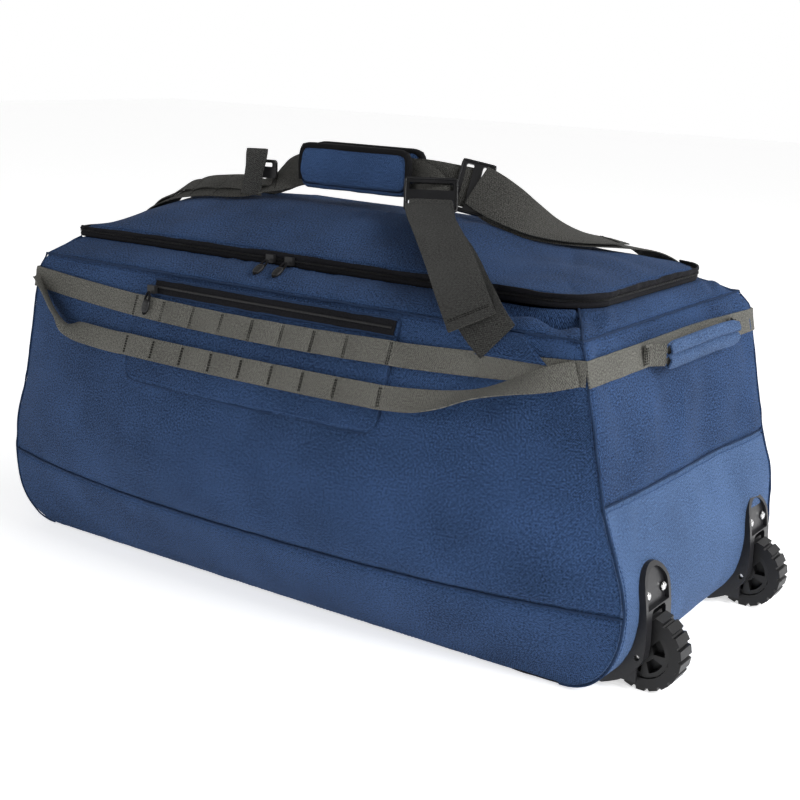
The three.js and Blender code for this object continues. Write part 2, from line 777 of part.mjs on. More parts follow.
for (const [label, y] of Object.entries(sides)) {
  add("wheel_housing_" + label, wheelHousing(y), BLACK_PLASTIC);
  add("housing_backplate_" + label, backplate(y), STEEL);
  add("axle_" + label, axle(y), STEEL);
  add("tyre_" + label, tyre(y), BLACK_RUBBER);
  add("wheel_hub_" + label, hub(y), BLACK_PLASTIC);
}

// ---- Lid ----

// Height of the packed lid's outside. It is fuller towards the far end.
function lidTop(x, y) {
  const along = 1 - (Math.abs(x) / ZIP_X) ** (x < 0 ? 6 : 3);
  const across = 1 - (Math.abs(y) / ZIP_Y) ** 2.2;
  return LID_EDGE_Z + LID_CROWN * along * across;
}

const lidPoint = (u, v) => {
  const x = (2 * u - 1) * (ZIP_X - GAP);
  const y = (2 * v - 1) * (ZIP_Y - GAP);
  return [x, y, lidTop(x, y)];
};
add("lid_panel", slab(lidPoint, [0, 0, -WALL], 18, 8), FABRIC);
add(
  "lid_zip_tape",
  zipTape(ZIP_LINE_Z + TEETH_GAP, ZIP_LINE_Z + TEETH_GAP + TAPE_HEIGHT),
  BLACK_TAPE,
);

// Zip slider with its puller. The slider runs on the outside of the zip.
function slider(name, x, y, z) {
  const body = new THREE.BoxGeometry(11, 5, 9).translate(x, y, z);
  add(name, body, BLACK_PLASTIC);
}

// A puller hanging from a pin line along X, in the direction (down, out) in the YZ plane.
const PULLER_LENGTH = 28;
function puller(name, x, y, z, direction) {
  const shape = roundedRectangle(8, PULLER_LENGTH, 3);
  const eye = new THREE.Path();
  eye.absarc(0, -PULLER_LENGTH / 2 + 5, 1.8, 0, 2 * Math.PI, true);
  shape.holes.push(eye);
  const along = new THREE.Vector3(0, ...direction).normalize();
  const across = new THREE.Vector3(1, 0, 0);
  const turn = new THREE.Matrix4().makeBasis(
    across,
    along.clone().negate(),
    across.clone().cross(along.clone().negate()),
  );
  const geometry = new THREE.ExtrudeGeometry(shape, {
    depth: 2,
    bevelEnabled: false,
    curveSegments: 3,
  });
  geometry.translate(0, -PULLER_LENGTH / 2 - 0.5, -1).applyMatrix4(turn);
  add(name, geometry.translate(x, y, z), BLACK_PLASTIC);
}

const SLIDER_Y = -(ZIP_Y + TAPE + GAP + 3.2);
const LID_SLIDERS = { left: -42, right: -15 };
for (const [label, x] of Object.entries(LID_SLIDERS)) {
  slider("lid_slider_" + label, x, SLIDER_Y, ZIP_LINE_Z);
  puller("lid_puller_" + label, x, SLIDER_Y - 4.6, ZIP_LINE_Z - 1, [-0.885, -0.466]);
}

const POCKET_SLIDER_X = pocketLeft + 24;
const pocketZipFace = HALF_WIDTH + bulge(0, POCKET_ZIP_Z) + ON_POCKET + 1;
slider("pocket_slider", POCKET_SLIDER_X, -(pocketZipFace + 5.8), POCKET_ZIP_Z);
puller("pocket_puller", POCKET_SLIDER_X, -(pocketZipFace + 10.5), POCKET_ZIP_Z - 1, [-0.35, -0.94]);

// ---- Shoulder straps and carry handle, which lie on the lid ----

const STRAP = 3; // thickness of the double ladder webbing
const onLid = (x, y, lift) => [x, y, lidTop(x, y) + lift];
const stop = (at, across, wide) => ({ at, across, wide });
const WRAP_Z = 467; // middle height of the carry handle

function shoulderStrap(ridgeY, gripY) {
  const lying = (x) => {
    const slope = (lidTop(x, ridgeY + 20) - lidTop(x, ridgeY - 20)) / 40;
    return stop(onLid(x, ridgeY, 5.6), [0, 1, slope], WIDE_WEBBING);
  };
  return [
    lying(-332),
    lying(-312),
    lying(-270),
    lying(-192),
    stop([-150, (ridgeY + gripY) / 2, 443], [0, 0.8, 0.6], 44),
    stop([-112, gripY, WRAP_Z - 1], [0, 0.15, 1], 38),
    stop([-28, gripY, WRAP_Z], [0, 0, 1], 37),
    stop([48, gripY, WRAP_Z - 1], [0, 0, 1], 37),
  ];
}
const GRIP_FRONT_Y = -15;
const GRIP_REAR_Y = -7;
add(
  "shoulder_strap_front",
  ribbon(
    [
      ...shoulderStrap(-34, GRIP_FRONT_Y),
      stop([70, -22, 460], [0.5, 0.3, 0.8], 42),
    ],
    STRAP,
    24,
  ),
  GREY_WEBBING,
);
add(
  "shoulder_strap_rear",
  ribbon(
    [
      ...shoulderStrap(26, GRIP_REAR_Y),
      stop([84, -3, 459], [0.1, 0.3, 0.95], 44),
    ],
    STRAP,
    24,
  ),
  GREY_WEBBING,
);

// The wrap is a folded pad around both straps. Its front half opens on the fold along its bottom.
const WRAP_LOW_X = -103;
const WRAP_HIGH_X = 47;
const WRAP_LOW_Z = 441;
const WRAP_HIGH_Z = 490;
const WRAP_FOLD_Z = WRAP_LOW_Z + 5.5;
const wrapRear = new THREE.Shape([
  flat(-29, WRAP_LOW_Z),
  flat(5, WRAP_LOW_Z),
  flat(8, WRAP_LOW_Z + 4),
  flat(8, WRAP_HIGH_Z - 4),
  flat(4, WRAP_HIGH_Z),
  flat(-2, WRAP_HIGH_Z - 3),
  flat(-2, WRAP_FOLD_Z),
  flat(-31, WRAP_FOLD_Z),
]);
add("handle_wrap_rear", prismAlongX(wrapRear, WRAP_LOW_X, WRAP_HIGH_X), PAD_FABRIC);
const wrapFront = new THREE.Shape([
  flat(-31, WRAP_FOLD_Z + GAP),
  flat(-20, WRAP_FOLD_Z + GAP),
  flat(-20, WRAP_HIGH_Z - 3),
  flat(-26, WRAP_HIGH_Z),
  flat(-31, WRAP_HIGH_Z - 4),
]);
add("handle_wrap_front", prismAlongX(wrapFront, WRAP_LOW_X, WRAP_HIGH_X), PAD_FABRIC);

// A ladder-lock adjuster: three bars in a rounded frame.
function adjuster(name, centre, across, normal) {
  const shape = roundedRectangle(60, 40, 7);
  for (const y of [-9.5, 9.5]) {
    const slot = roundedRectangle(50, 8.5, 2, 0, y);
    shape.holes.push(new THREE.Path(slot.getPoints(3).reverse()));
  }
  const geometry = new THREE.ExtrudeGeometry(shape, {
    depth: 5,
    bevelEnabled: false,
    curveSegments: 3,
  });
  geometry.translate(0, 0, -2.5);
  const x = new THREE.Vector3(...across).normalize();
  const z = new THREE.Vector3(...normal);
  z.addScaledVector(x, -z.dot(x)).normalize();
  geometry.applyMatrix4(new THREE.Matrix4().makeBasis(x, z.clone().cross(x), z));
  add(name, geometry.translate(...centre), BLACK_PLASTIC);
}
const FRONT_ADJUSTER = [92, -44, 450];
const REAR_ADJUSTER = [116, 6, 457];
const facing = [0.83, 0.56, 0]; // width of the front adjuster and its webbing
adjuster("adjuster_front", FRONT_ADJUSTER, facing, [0.5, -0.74, 0.45]);
adjuster("adjuster_rear", REAR_ADJUSTER, [0.05, 0.33, 0.94], [0.45, -0.86, 0.25]);

// Each adjuster holds a lower webbing, sewn to the seam below, whose free end hangs outside it as a tail.
const ANCHOR_X = 281;
const lowerFront = [
  stop([104, -64, 433], facing, WIDE_WEBBING),
  stop([140, -100, 419], [0.8, 0.57, 0.1], WIDE_WEBBING),
  stop([188, -143, 399], [0.78, 0.45, 0.25], WIDE_WEBBING),
  stop([244, -192, 367], [0.76, 0.25, 0.45], WIDE_WEBBING),
  stop([ANCHOR_X - 3, -209, 344], [0.78, 0.1, 0.55], WIDE_WEBBING),
];
const tailFront = [
  stop([110, -73, 437], facing, WIDE_WEBBING),
  stop([148, -114, 425], [0.8, 0.57, 0.1], WIDE_WEBBING),
  stop([188, -156, 405], [0.78, 0.55, 0.25], WIDE_WEBBING),
  stop([226, -194, 382], [0.74, 0.5, 0.4], WIDE_WEBBING),
  stop([254, -216, 358], [0.7, 0.5, 0.45], WIDE_WEBBING),
];
const lowerRear = [
  stop([146, 14, 451], [0, 0.3, 0.95], WIDE_WEBBING),
  stop([180, 22, 442], [0, 0.75, 0.65], WIDE_WEBBING),
  stop([216, 32, 428], [-0.1, 0.95, 0.25], WIDE_WEBBING),
  stop([246, 56, 417], [-0.5, 0.85, 0], WIDE_WEBBING),
  stop([268, 100, 407], [-0.8, 0.5, 0], WIDE_WEBBING),
  stop([278, 148, 393], [-1, 0.2, 0], WIDE_WEBBING),
  stop([280, 176, 377], [-1, 0, 0], WIDE_WEBBING),
  stop([ANCHOR_X, 202, 357], [-1, 0, 0], WIDE_WEBBING),
  stop([ANCHOR_X, 208, 343], [-1, 0, 0], WIDE_WEBBING),
];
const tailRear = [
  stop([152, 10, 459], [0, 0.3, 0.95], WIDE_WEBBING),
  stop([184, 18, 450], [0, 0.75, 0.65], WIDE_WEBBING),
  stop([220, 29, 436], [-0.1, 0.95, 0.25], WIDE_WEBBING),
  stop([250, 54, 424], [-0.5, 0.85, 0], WIDE_WEBBING),
  stop([272, 98, 414], [-0.8, 0.5, 0], WIDE_WEBBING),
  stop([282, 136, 404], [-1, 0.2, 0], WIDE_WEBBING),
];
add("lower_webbing_front", ribbon(lowerFront, WEBBING, 20), GREY_WEBBING);
add("lower_webbing_rear", ribbon(lowerRear, WEBBING, 20), GREY_WEBBING);
add("strap_tail_front", ribbon(tailFront, WEBBING, 12), GREY_WEBBING);
add("strap_tail_rear", ribbon(tailRear, WEBBING, 12), GREY_WEBBING);

// Triangular tabs on the seam that the lower webbings are sewn to.
function anchorTab(side) {
  const half = 34;
  const pointAt = (u, v) => {
    const x = ANCHOR_X + 12 + (2 * u - 1) * half * (1 - 0.85 * v);
    const z = THREE.MathUtils.lerp(332.5, TOP_Z - 1, v);
    return [x, side * (HALF_WIDTH + bulge(x, z) + 5.2), z];
  };
  return slab(pointAt, [0, -side * 1.8, 0], 4, 3);
}
add("anchor_tab_front", anchorTab(-1), FABRIC);
add("anchor_tab_rear", anchorTab(1), FABRIC);

// The sternum strap stands up from the front strap as a folded loop, with its buckle hanging behind.
const STERNUM_X = -176;
const sternum = [
  stop([STERNUM_X, -58, 432], [1, 0.3, 0], NARROW_WEBBING),
  stop([STERNUM_X - 4, -63, 452], [1, 0.3, 0], NARROW_WEBBING),
  stop([STERNUM_X + 2, -60, 474], [1, 0.3, 0], NARROW_WEBBING),
  stop([STERNUM_X + 7, -52, 483], [1, 0.3, 0], NARROW_WEBBING),
  stop([STERNUM_X + 13, -42, 480], [1, 0.3, 0], NARROW_WEBBING),
  stop([STERNUM_X + 17, -38, 466], [1, 0.3, 0], NARROW_WEBBING),
];
add("sternum_strap", ribbon(sternum, WEBBING, 15), GREY_WEBBING);
const buckle = roundedRectangle(30, 22, 4);
buckle.holes.push(new THREE.Path(roundedRectangle(20, 5, 1.5, 0, 5).getPoints(4).reverse()));
const buckleGeometry = new THREE.ExtrudeGeometry(buckle, {
  depth: 5,
  bevelEnabled: false,
  curveSegments: 4,
});
buckleGeometry.rotateX(Math.PI / 2).rotateZ(0.29);
add(
  "sternum_buckle",
  buckleGeometry.translate(STERNUM_X + 19, -30, 459),
  BLACK_PLASTIC,
);

// ---- Placing the bag over the middle of its own box ----

const wheelReach = WHEEL_X + WHEEL_R;
const farReach = beltX + HANDLE_OFF + 4.6 > HALF_WIDE ? beltX + HANDLE_OFF + 4.6 : HALF_WIDE;
bag.position.set(-(wheelReach - farReach) / 2, 0, 0);

export default bag;
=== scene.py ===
"""Rolling duffel bag: the soft shell, webbing, straps and wheels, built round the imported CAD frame.

Shapes are worked out in the bag's own millimetres, with X from the middle of the bag towards the wheels,
-Y to the front and Z up, and are moved to the row's metres when a mesh is made.
"""

import math

import bpy
import numpy as np
from mathutils import Matrix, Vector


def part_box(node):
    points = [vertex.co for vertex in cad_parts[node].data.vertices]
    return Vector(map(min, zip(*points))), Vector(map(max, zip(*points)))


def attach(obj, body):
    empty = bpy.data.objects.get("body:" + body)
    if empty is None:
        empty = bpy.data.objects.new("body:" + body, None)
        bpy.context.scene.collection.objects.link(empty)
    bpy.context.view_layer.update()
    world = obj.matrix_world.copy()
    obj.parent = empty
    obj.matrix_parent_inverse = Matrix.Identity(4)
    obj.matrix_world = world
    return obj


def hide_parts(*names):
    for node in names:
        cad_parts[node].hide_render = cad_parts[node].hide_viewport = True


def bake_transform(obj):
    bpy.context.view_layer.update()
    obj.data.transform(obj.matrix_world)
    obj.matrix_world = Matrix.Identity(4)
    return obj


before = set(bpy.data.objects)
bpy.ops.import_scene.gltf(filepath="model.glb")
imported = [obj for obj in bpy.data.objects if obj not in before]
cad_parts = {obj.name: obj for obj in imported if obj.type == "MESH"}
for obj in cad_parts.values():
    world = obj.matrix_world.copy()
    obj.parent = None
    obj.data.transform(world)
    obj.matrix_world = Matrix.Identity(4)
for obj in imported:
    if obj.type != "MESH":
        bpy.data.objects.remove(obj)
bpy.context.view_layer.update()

# ---- The bag's main sizes, as in the CAD, in millimetres ----
AXLE_X = 433.0
axle_low, axle_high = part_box("axle_front")
MID_X = AXLE_X - 1000 * (axle_low[0] + axle_high[0]) / 2
HALF_FLOOR, HALF_WIDE, HALF_SHOULDER, HALF_TOP = 366.0, 430.0, 399.5, 366.0
FLOOR_Z, WIDE_Z, BASE_SEAM_Z, PAD_TOP_Z, TOP_Z = 2.5, 85.0, 88.0, 193.0, 348.5
HALF_WIDTH = 194.0
BELLY, BELLY_TOP = 60.0, 6.0
ZIP_X, ZIP_Y, ZIP_SEAM_Z = 345.0, 152.0, 370.0
COLLAR_X, COLLAR_Y = ZIP_X + 1.5, ZIP_Y + 2  # half sizes of the collar's inner edge
COLLAR_Z = TOP_Z + 0.5
LID_EDGE_Z, LID_CROWN = 381.0, 44.0
POCKET_LEFT, POCKET_RIGHT = -189.0, 167.0
BELT_Z = 319.0
HALF_WEB = 12.5  # half the width of the webbing rows
WHEEL_Y = 137.0
OPENING_RADIUS = 52.0  # of the opening's two corners at the wheel end
WHEEL_SWELL = 12.0  # how much fuller than the CAD's outline the wheel end's back corner is packed
CLOTH_THICK, WEB_THICK = 2.4, 1.8
SEAM_STITCH = 5.5  # from a seam to its row of stitches
STITCH_COLUMNS = [-188, -144, -98, -55, -12, 30, 71, 113, 166]


# ---- Numbers: noise, curves and the bag's outline ----
def hashed(ix, iy, iz, seed):
    """A repeatable value from -1 to 1 for each lattice point."""
    n = (ix * 374761393 + iy * 668265263 + iz * 1274126177 + seed * 1442695041) & 0xFFFFFFFF
    n = ((n ^ (n >> 13)) * 1103515245) & 0xFFFFFFFF
    n = ((n ^ (n >> 15)) * 374761393) & 0xFFFFFFFF
    return ((n >> 8) & 0xFFFF) / 32767.5 - 1


def noise(x, y, z, seed=0):
    """Smooth noise from -1 to 1 over arrays."""
    x, y, z = np.broadcast_arrays(np.asarray(x, float), np.asarray(y, float), np.asarray(z, float))
    fx, fy, fz = np.floor(x), np.floor(y), np.floor(z)
    ix, iy, iz = (f.astype(np.int64) for f in (fx, fy, fz))
    tx, ty, tz = ((t * t * (3 - 2 * t)) for t in (x - fx, y - fy, z - fz))
    total = 0
    for dx in (0, 1):
        for dy in (0, 1):
            for dz in (0, 1):
                weight = (tx if dx else 1 - tx) * (ty if dy else 1 - ty) * (tz if dz else 1 - tz)
                total = total + weight * hashed(ix + dx, iy + dy, iz + dz, seed)
    return total


def bezier(a, b, c, d, count):
    t = np.linspace(0, 1, count)[:, None]
    a, b, c, d = (np.array(p, float) for p in (a, b, c, d))
    return a * (1 - t) ** 3 + 3 * b * t * (1 - t) ** 2 + 3 * c * t * t * (1 - t) + d * t**3


def arc_of(line):
    """Lengths along a line from its start to each of its points."""
    return np.concatenate([[0], np.cumsum(np.linalg.norm(np.diff(line, axis=0), axis=1))])


def at_arc(s, arc, values):
    """The values, one row for each point of a line, at places along it."""
    return np.stack([np.interp(s, arc, values[:, k]) for k in range(3)], -1)


wide, shoulder = (HALF_WIDE, WIDE_Z), (HALF_SHOULDER, PAD_TOP_Z)
outline = np.vstack([
    bezier((HALF_FLOOR, FLOOR_Z), (HALF_FLOOR + 42, FLOOR_Z), (HALF_WIDE, 38), wide, 60)[:-1],
    bezier(wide, (HALF_WIDE, WIDE_Z + 35), (HALF_SHOULDER + 8, PAD_TOP_Z - 33), shoulder, 50)[:-1],
    bezier(shoulder, (HALF_SHOULDER - 7, PAD_TOP_Z + 32), (HALF_TOP + 12, TOP_Z - 56), (HALF_TOP, TOP_Z), 60),
])
outline_arc = arc_of(outline)


def half_length(z):
    return np.interp(z, outline[:, 1], outline[:, 0])


def outline_at(arc):
    return np.interp(arc, outline_arc, outline[:, 0]), np.interp(arc, outline_arc, outline[:, 1])


def arc_at(z):
    return np.interp(z, outline[:, 1], outline_arc)


def bulge(x, z):
    """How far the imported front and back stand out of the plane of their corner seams."""
    up = np.clip(z / (TOP_Z + 0.5), 0, 1)
    along = 1 - np.minimum(1, np.abs(x) / half_length(np.minimum(z, TOP_Z))) ** 2.5
    return (BELLY * np.sin(np.pi * up**0.88) + BELLY_TOP * up) * along


def end_bulge(y, z):
    """The same for the two ends."""
    up = np.clip(z / TOP_Z, 0, 1)
    return 6 * np.sin(np.pi * up) * (1 - np.minimum(1, np.abs(y) / HALF_WIDTH) ** 2.5)


def lid_top(x, y):
    along = 1 - np.minimum(1, np.abs(x) / ZIP_X) ** np.where(x < 0, 6.0, 3.0)
    across = 1 - np.minimum(1, np.abs(y) / ZIP_Y) ** 2.2
    return LID_EDGE_Z + LID_CROWN * along * across - 14 * hump(x, 225, 65) * across


def smooth_step(x, low, high):
    t = np.clip((x - low) / (high - low), 0, 1)
    return t * t * (3 - 2 * t)


def hump(x, centre, width):
    return np.exp(-(((x - centre) / width) ** 2))


def mix(a, b, t):
    return a * (1 - t) + b * t


def points_of(x, y, z):
    """Points from three arrays or numbers of matching shapes."""
    return np.stack(np.broadcast_arrays(x, y, z), -1).astype(float)


def unit(v):
    v = np.asarray(v, float)
    return v / np.maximum(np.linalg.norm(v, axis=-1, keepdims=True), 1e-9)


def resample(points, step):
    """A Catmull-Rom curve through the points, with points about a step apart."""
    p = np.asarray(points, float)
    p = np.vstack([2 * p[0] - p[1], p, 2 * p[-1] - p[-2]])
    out = []
    for i in range(1, len(p) - 2):
        count = max(2, int(np.linalg.norm(p[i + 1, :3] - p[i, :3]) / step))
        t = np.linspace(0, 1, count, endpoint=False)[:, None]
        a, b, c, d = p[i - 1], p[i], p[i + 1], p[i + 2]
        out.append(
            0.5 * (2 * b + (c - a) * t + (2 * a - 5 * b + 4 * c - d) * t**2 + (3 * b - a - 3 * c + d) * t**3)
        )
    out.append(p[-2][None])
    return np.vstack(out)


# ---- Materials ----
def new_material(name):
    material = bpy.data.materials.new(name)
    material.use_nodes = True
    return material, material.node_tree, material.node_tree.nodes["Principled BSDF"]


def add_node(tree, kind, **values):
    made = tree.nodes.new(kind)
    for key, value in values.items():
        setattr(made, key, value)
    return made


def math_node(tree, operation, *values):
    made = add_node(tree, "ShaderNodeMath", operation=operation)
    for socket, value in zip(made.inputs, values):
        if isinstance(value, (int, float)):
            socket.default_value = value
        else:
            tree.links.new(value, socket)
    return made.outputs[0]


def colour_ramp(tree, factor, low, high, start=0.0, end=1.0):
    ramp = add_node(tree, "ShaderNodeValToRGB")
    ramp.color_ramp.elements[0].position = start
    ramp.color_ramp.elements[0].color = (*low, 1)
    ramp.color_ramp.elements[1].position = end
    ramp.color_ramp.elements[1].color = (*high, 1)
    tree.links.new(factor, ramp.inputs[0])
    return ramp.outputs[0]


def noise_node(tree, vector, scale, detail=3.0, roughness=0.55):
    made = add_node(tree, "ShaderNodeTexNoise")
    made.inputs["Scale"].default_value = scale
    made.inputs["Detail"].default_value = detail
    made.inputs["Roughness"].default_value = roughness
    tree.links.new(vector, made.inputs["Vector"])
    return made.outputs[0]


def add_bump(tree, shader, height, strength, distance):
    bump = add_node(tree, "ShaderNodeBump")
    bump.inputs["Strength"].default_value = strength
    bump.inputs["Distance"].default_value = distance
    tree.links.new(height, bump.inputs["Height"])
    tree.links.new(bump.outputs[0], shader.inputs["Normal"])


def scaled(colour, k):
    return tuple(min(1, c * k) for c in colour)


def woven(name, colour, pitch, ribs=False, rough=0.8, contrast=0.35, sheen=0.03, bump=0.5):
    """Cloth whose threads run along the UVs, which are in metres. ribs makes webbing's cross ribs."""
    material, tree, shader = new_material(name)
    uv = add_node(tree, "ShaderNodeTexCoord").outputs["UV"]
    split = add_node(tree, "ShaderNodeSeparateXYZ")
    tree.links.new(uv, split.inputs[0])
    turns = 2 * math.pi / pitch
    if ribs:
        # Herringbone: the ribs lean one way, then the other, in lanes along the webbing.
        lane = math_node(tree, "PINGPONG", split.outputs[1], pitch * 0.8)
        lean = math_node(tree, "ADD", split.outputs[0], lane)
        wave = math_node(tree, "SINE", math_node(tree, "MULTIPLY", lean, turns))
    else:
        warp = math_node(tree, "SINE", math_node(tree, "MULTIPLY", split.outputs[0], turns))
        weft = math_node(tree, "SINE", math_node(tree, "MULTIPLY", split.outputs[1], turns))
        wave = math_node(tree, "MULTIPLY", warp, weft)
    height = math_node(tree, "MULTIPLY_ADD", wave, 0.5, 0.5)
    fibre = math_node(tree, "MULTIPLY_ADD", noise_node(tree, uv, 520, 2, 0.8), 5.5, -2.25)
    patches = noise_node(tree, uv, 9, 4)
    mixed = math_node(tree, "MULTIPLY_ADD", height, 0.55, math_node(tree, "MULTIPLY", fibre, 0.45))
    shade = math_node(tree, "MULTIPLY_ADD", patches, 0.5, math_node(tree, "MULTIPLY", mixed, 0.75))
    colour_out = colour_ramp(
        tree, shade, scaled(colour, 1 - contrast), scaled(colour, 1 + contrast), 0.3, 0.95
    )
    tree.links.new(colour_out, shader.inputs["Base Color"])
    rough_out = math_node(tree, "MULTIPLY_ADD", patches, -0.18, rough + 0.09)
    tree.links.new(rough_out, shader.inputs["Roughness"])
    shader.inputs["Sheen Weight"].default_value = sheen
    shader.inputs["Sheen Roughness"].default_value = 0.45
    shader.inputs["Specular IOR Level"].default_value = 0.06
    add_bump(tree, shader, mixed, bump, pitch * 0.35)
    return material


def moulded(name, colour, rough, grain=600, bump=0.12, metallic=0.0, spread=0.3):
    """Plastic, rubber or metal with a fine grain and worn patches, from object coordinates."""
    material, tree, shader = new_material(name)
    where = add_node(tree, "ShaderNodeTexCoord").outputs["Object"]
    fine = noise_node(tree, where, grain, 2)
    patches = noise_node(tree, where, 30, 4)
    blend = math_node(tree, "MULTIPLY_ADD", patches, 0.7, math_node(tree, "MULTIPLY", fine, 0.3))
    colour_out = colour_ramp(tree, blend, scaled(colour, 1 - spread), scaled(colour, 1 + spread), 0.3, 0.7)
    tree.links.new(colour_out, shader.inputs["Base Color"])
    rough_out = math_node(tree, "MULTIPLY_ADD", patches, 0.24, rough - 0.12)
    tree.links.new(rough_out, shader.inputs["Roughness"])
    shader.inputs["Metallic"].default_value = metallic
    shader.inputs["Specular IOR Level"].default_value = 0.28
    add_bump(tree, shader, fine, bump, 0.0003)
    return material


BLUE = (0.028, 0.057, 0.132)
BODY_CLOTH = woven("body_cloth", BLUE, 0.0024, contrast=0.85, bump=0.9)
# The padded end panel's cloth is lighter than the body's: partly its own lighter tone, partly painted light for the
# side light it catches.
LIT_PAD_CLOTH = woven("pad_cloth", (0.066, 0.116, 0.232), 0.0029, contrast=0.55, bump=0.8)
SHOULDER_CLOTH = woven(
    "shoulder_cloth", (0.066, 0.065, 0.060), 0.0023, ribs=True, contrast=0.6, rough=0.75, bump=0.9,
)
# Darker blue for the seam cords: partly the piping's own tone, partly painted shade in the seams.
PIPING_AND_SHADE_CLOTH = woven("piping_and_shade_cloth", scaled(BLUE, 0.55), 0.0011)
# The handle sleeves take the padded panel's brightened colour a little darker, so they carry its painted light too.
LIT_SLEEVE_CLOTH = woven("sleeve_cloth", (0.055, 0.096, 0.192), 0.0024, contrast=0.7, bump=0.8)
WRAP_CLOTH = woven("wrap_cloth", scaled(BLUE, 1.3), 0.0029, contrast=0.7, bump=0.9)
TAB_CLOTH = woven("tab_cloth", scaled(BLUE, 0.9), 0.0029, contrast=0.7, bump=0.8)
# A darker copy of the strap webbing, used on the front lower webbing, the front strap tail and the sternum loop:
# partly the webbing's own dark grey, partly painted shade.
STRAP_CLOTH = woven(
    "strap_cloth", (0.044, 0.044, 0.042), 0.0023, ribs=True, contrast=0.6, rough=0.75, bump=0.9,
)
WEBBING_CLOTH = woven(
    "webbing_cloth", (0.124, 0.122, 0.110), 0.0023, ribs=True, contrast=0.55, rough=0.75, bump=0.8,
)
BLACK_CLOTH = woven("black_cloth", (0.009, 0.009, 0.011), 0.0012, rough=0.75, contrast=0.5, bump=0.5)
BLACK_BINDING = woven("black_binding", (0.008, 0.008, 0.009), 0.0017, ribs=True, rough=0.8, contrast=0.5)
BLUE_THREAD = woven("blue_thread", scaled(BLUE, 1.5), 0.0006, contrast=0.2)
GREY_THREAD = woven("grey_thread", (0.012, 0.012, 0.011), 0.0006, contrast=0.2)
BLACK_PLASTIC = moulded("black_plastic", (0.014, 0.014, 0.015), 0.38)
GLOSS_PLASTIC = moulded("gloss_plastic", (0.011, 0.011, 0.012), 0.26, bump=0.06)
HOUSING_PLASTIC = moulded("housing_plastic", (0.016, 0.016, 0.018), 0.34, bump=0.1)
TYRE_RUBBER = moulded("tyre_rubber", (0.008, 0.008, 0.009), 0.42, grain=900, bump=0.25)
RIVET_STEEL = moulded("rivet_steel", (0.62, 0.62, 0.62), 0.24, metallic=1.0, spread=0.08)
BOARD_PLASTIC = moulded("board_plastic", (0.02, 0.02, 0.022), 0.5)


# ---- Mesh making ----
def add_object(name, data):
    made = bpy.data.objects.new(name, data)
    bpy.context.scene.collection.objects.link(made)
    return made


def make_object(name, points, faces, material, body, uvs=None, slot=None, node=None, sharp=50):
    """A mesh from points in the bag's millimetres, riding on a body, in place of a CAD node if one is given."""
    points = np.array(points, float)
    x, z = points[:, 0], points[:, 2]
    # The far end is packed 4 mm fuller than the CAD's outline low down, and 10 mm fuller above.
    swell = (4 + 6 * smooth_step(z, 90, 150)) * smooth_step(z, 2, 40) * (1 - smooth_step(z, 326, 350))
    points[:, 0] -= swell * smooth_step(-x, 215, 372)
    swell = smooth_step(z, 95, 160) * (1 - smooth_step(z, 332, 352)) * smooth_step(points[:, 1], 50, 190)
    points[:, 0] += WHEEL_SWELL * swell * smooth_step(x, 215, 372)
    verts = (points - [MID_X, 0, 0]) / 1000
    mesh = bpy.data.meshes.new(name)
    mesh.from_pydata(verts.tolist(), [], [list(map(int, f)) for f in faces])
    mesh.materials.append(material)
    if uvs is not None:
        layer = mesh.uv_layers.new(name="UVMap")
        corner = np.empty(len(mesh.loops), dtype=np.int64)
        mesh.loops.foreach_get("vertex_index", corner)
        layer.data.foreach_set("uv", (np.asarray(uvs, float)[corner] / 1000).ravel())
    mesh.validate()
    mesh.shade_smooth()
    mesh.set_sharp_from_angle(angle=math.radians(sharp))
    made = add_object(name, mesh)
    if body:
        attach(made, body)
    if node:
        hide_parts(node)
    return made


def normals_of(p, outward):
    """Unit normals of a grid of points, turned to the outward side."""
    du = np.gradient(p, axis=0)
    dv = np.gradient(p, axis=1)
    n = unit(np.cross(du, dv))
    outward = np.broadcast_to(np.asarray(outward, float), n.shape)
    if np.sum(n * outward) < 0:
        n = -n
    return n


def grid_uv(p):
    """Lengths along both directions of a grid, in millimetres."""
    u = np.linalg.norm(np.diff(p, axis=0), axis=2).mean(axis=1)
    v = np.linalg.norm(np.diff(p, axis=1), axis=2).mean(axis=0)
    u = np.concatenate([[0], np.cumsum(u)])
    v = np.concatenate([[0], np.cumsum(v)])
    return np.stack(np.meshgrid(u, v, indexing="ij"), -1)


def ring_faces(count, sides, closed=False):
    """The points' numbers in a stack of rings, and the quads between neighbouring rings."""
    index = np.arange(count * sides).reshape(count, sides)
    a, b = index, np.roll(index, -1, 0)
    if not closed:
        a, b = a[:-1], b[:-1]
    return index, np.stack([a, np.roll(a, -1, 1), np.roll(b, -1, 1), b], -1).reshape(-1, 4).tolist()


def ring_object(name, rings, material, body, uv=None, closed=False, **more):
    """A mesh over a stack of rings, with its ends closed."""
    index, faces = ring_faces(*rings.shape[:2], closed)
    if not closed:
        faces += [index[0, ::-1], index[-1]]
    uv = None if uv is None else uv.reshape(-1, 2)
    return make_object(name, rings.reshape(-1, 3), faces, material, body, uvs=uv, **more)


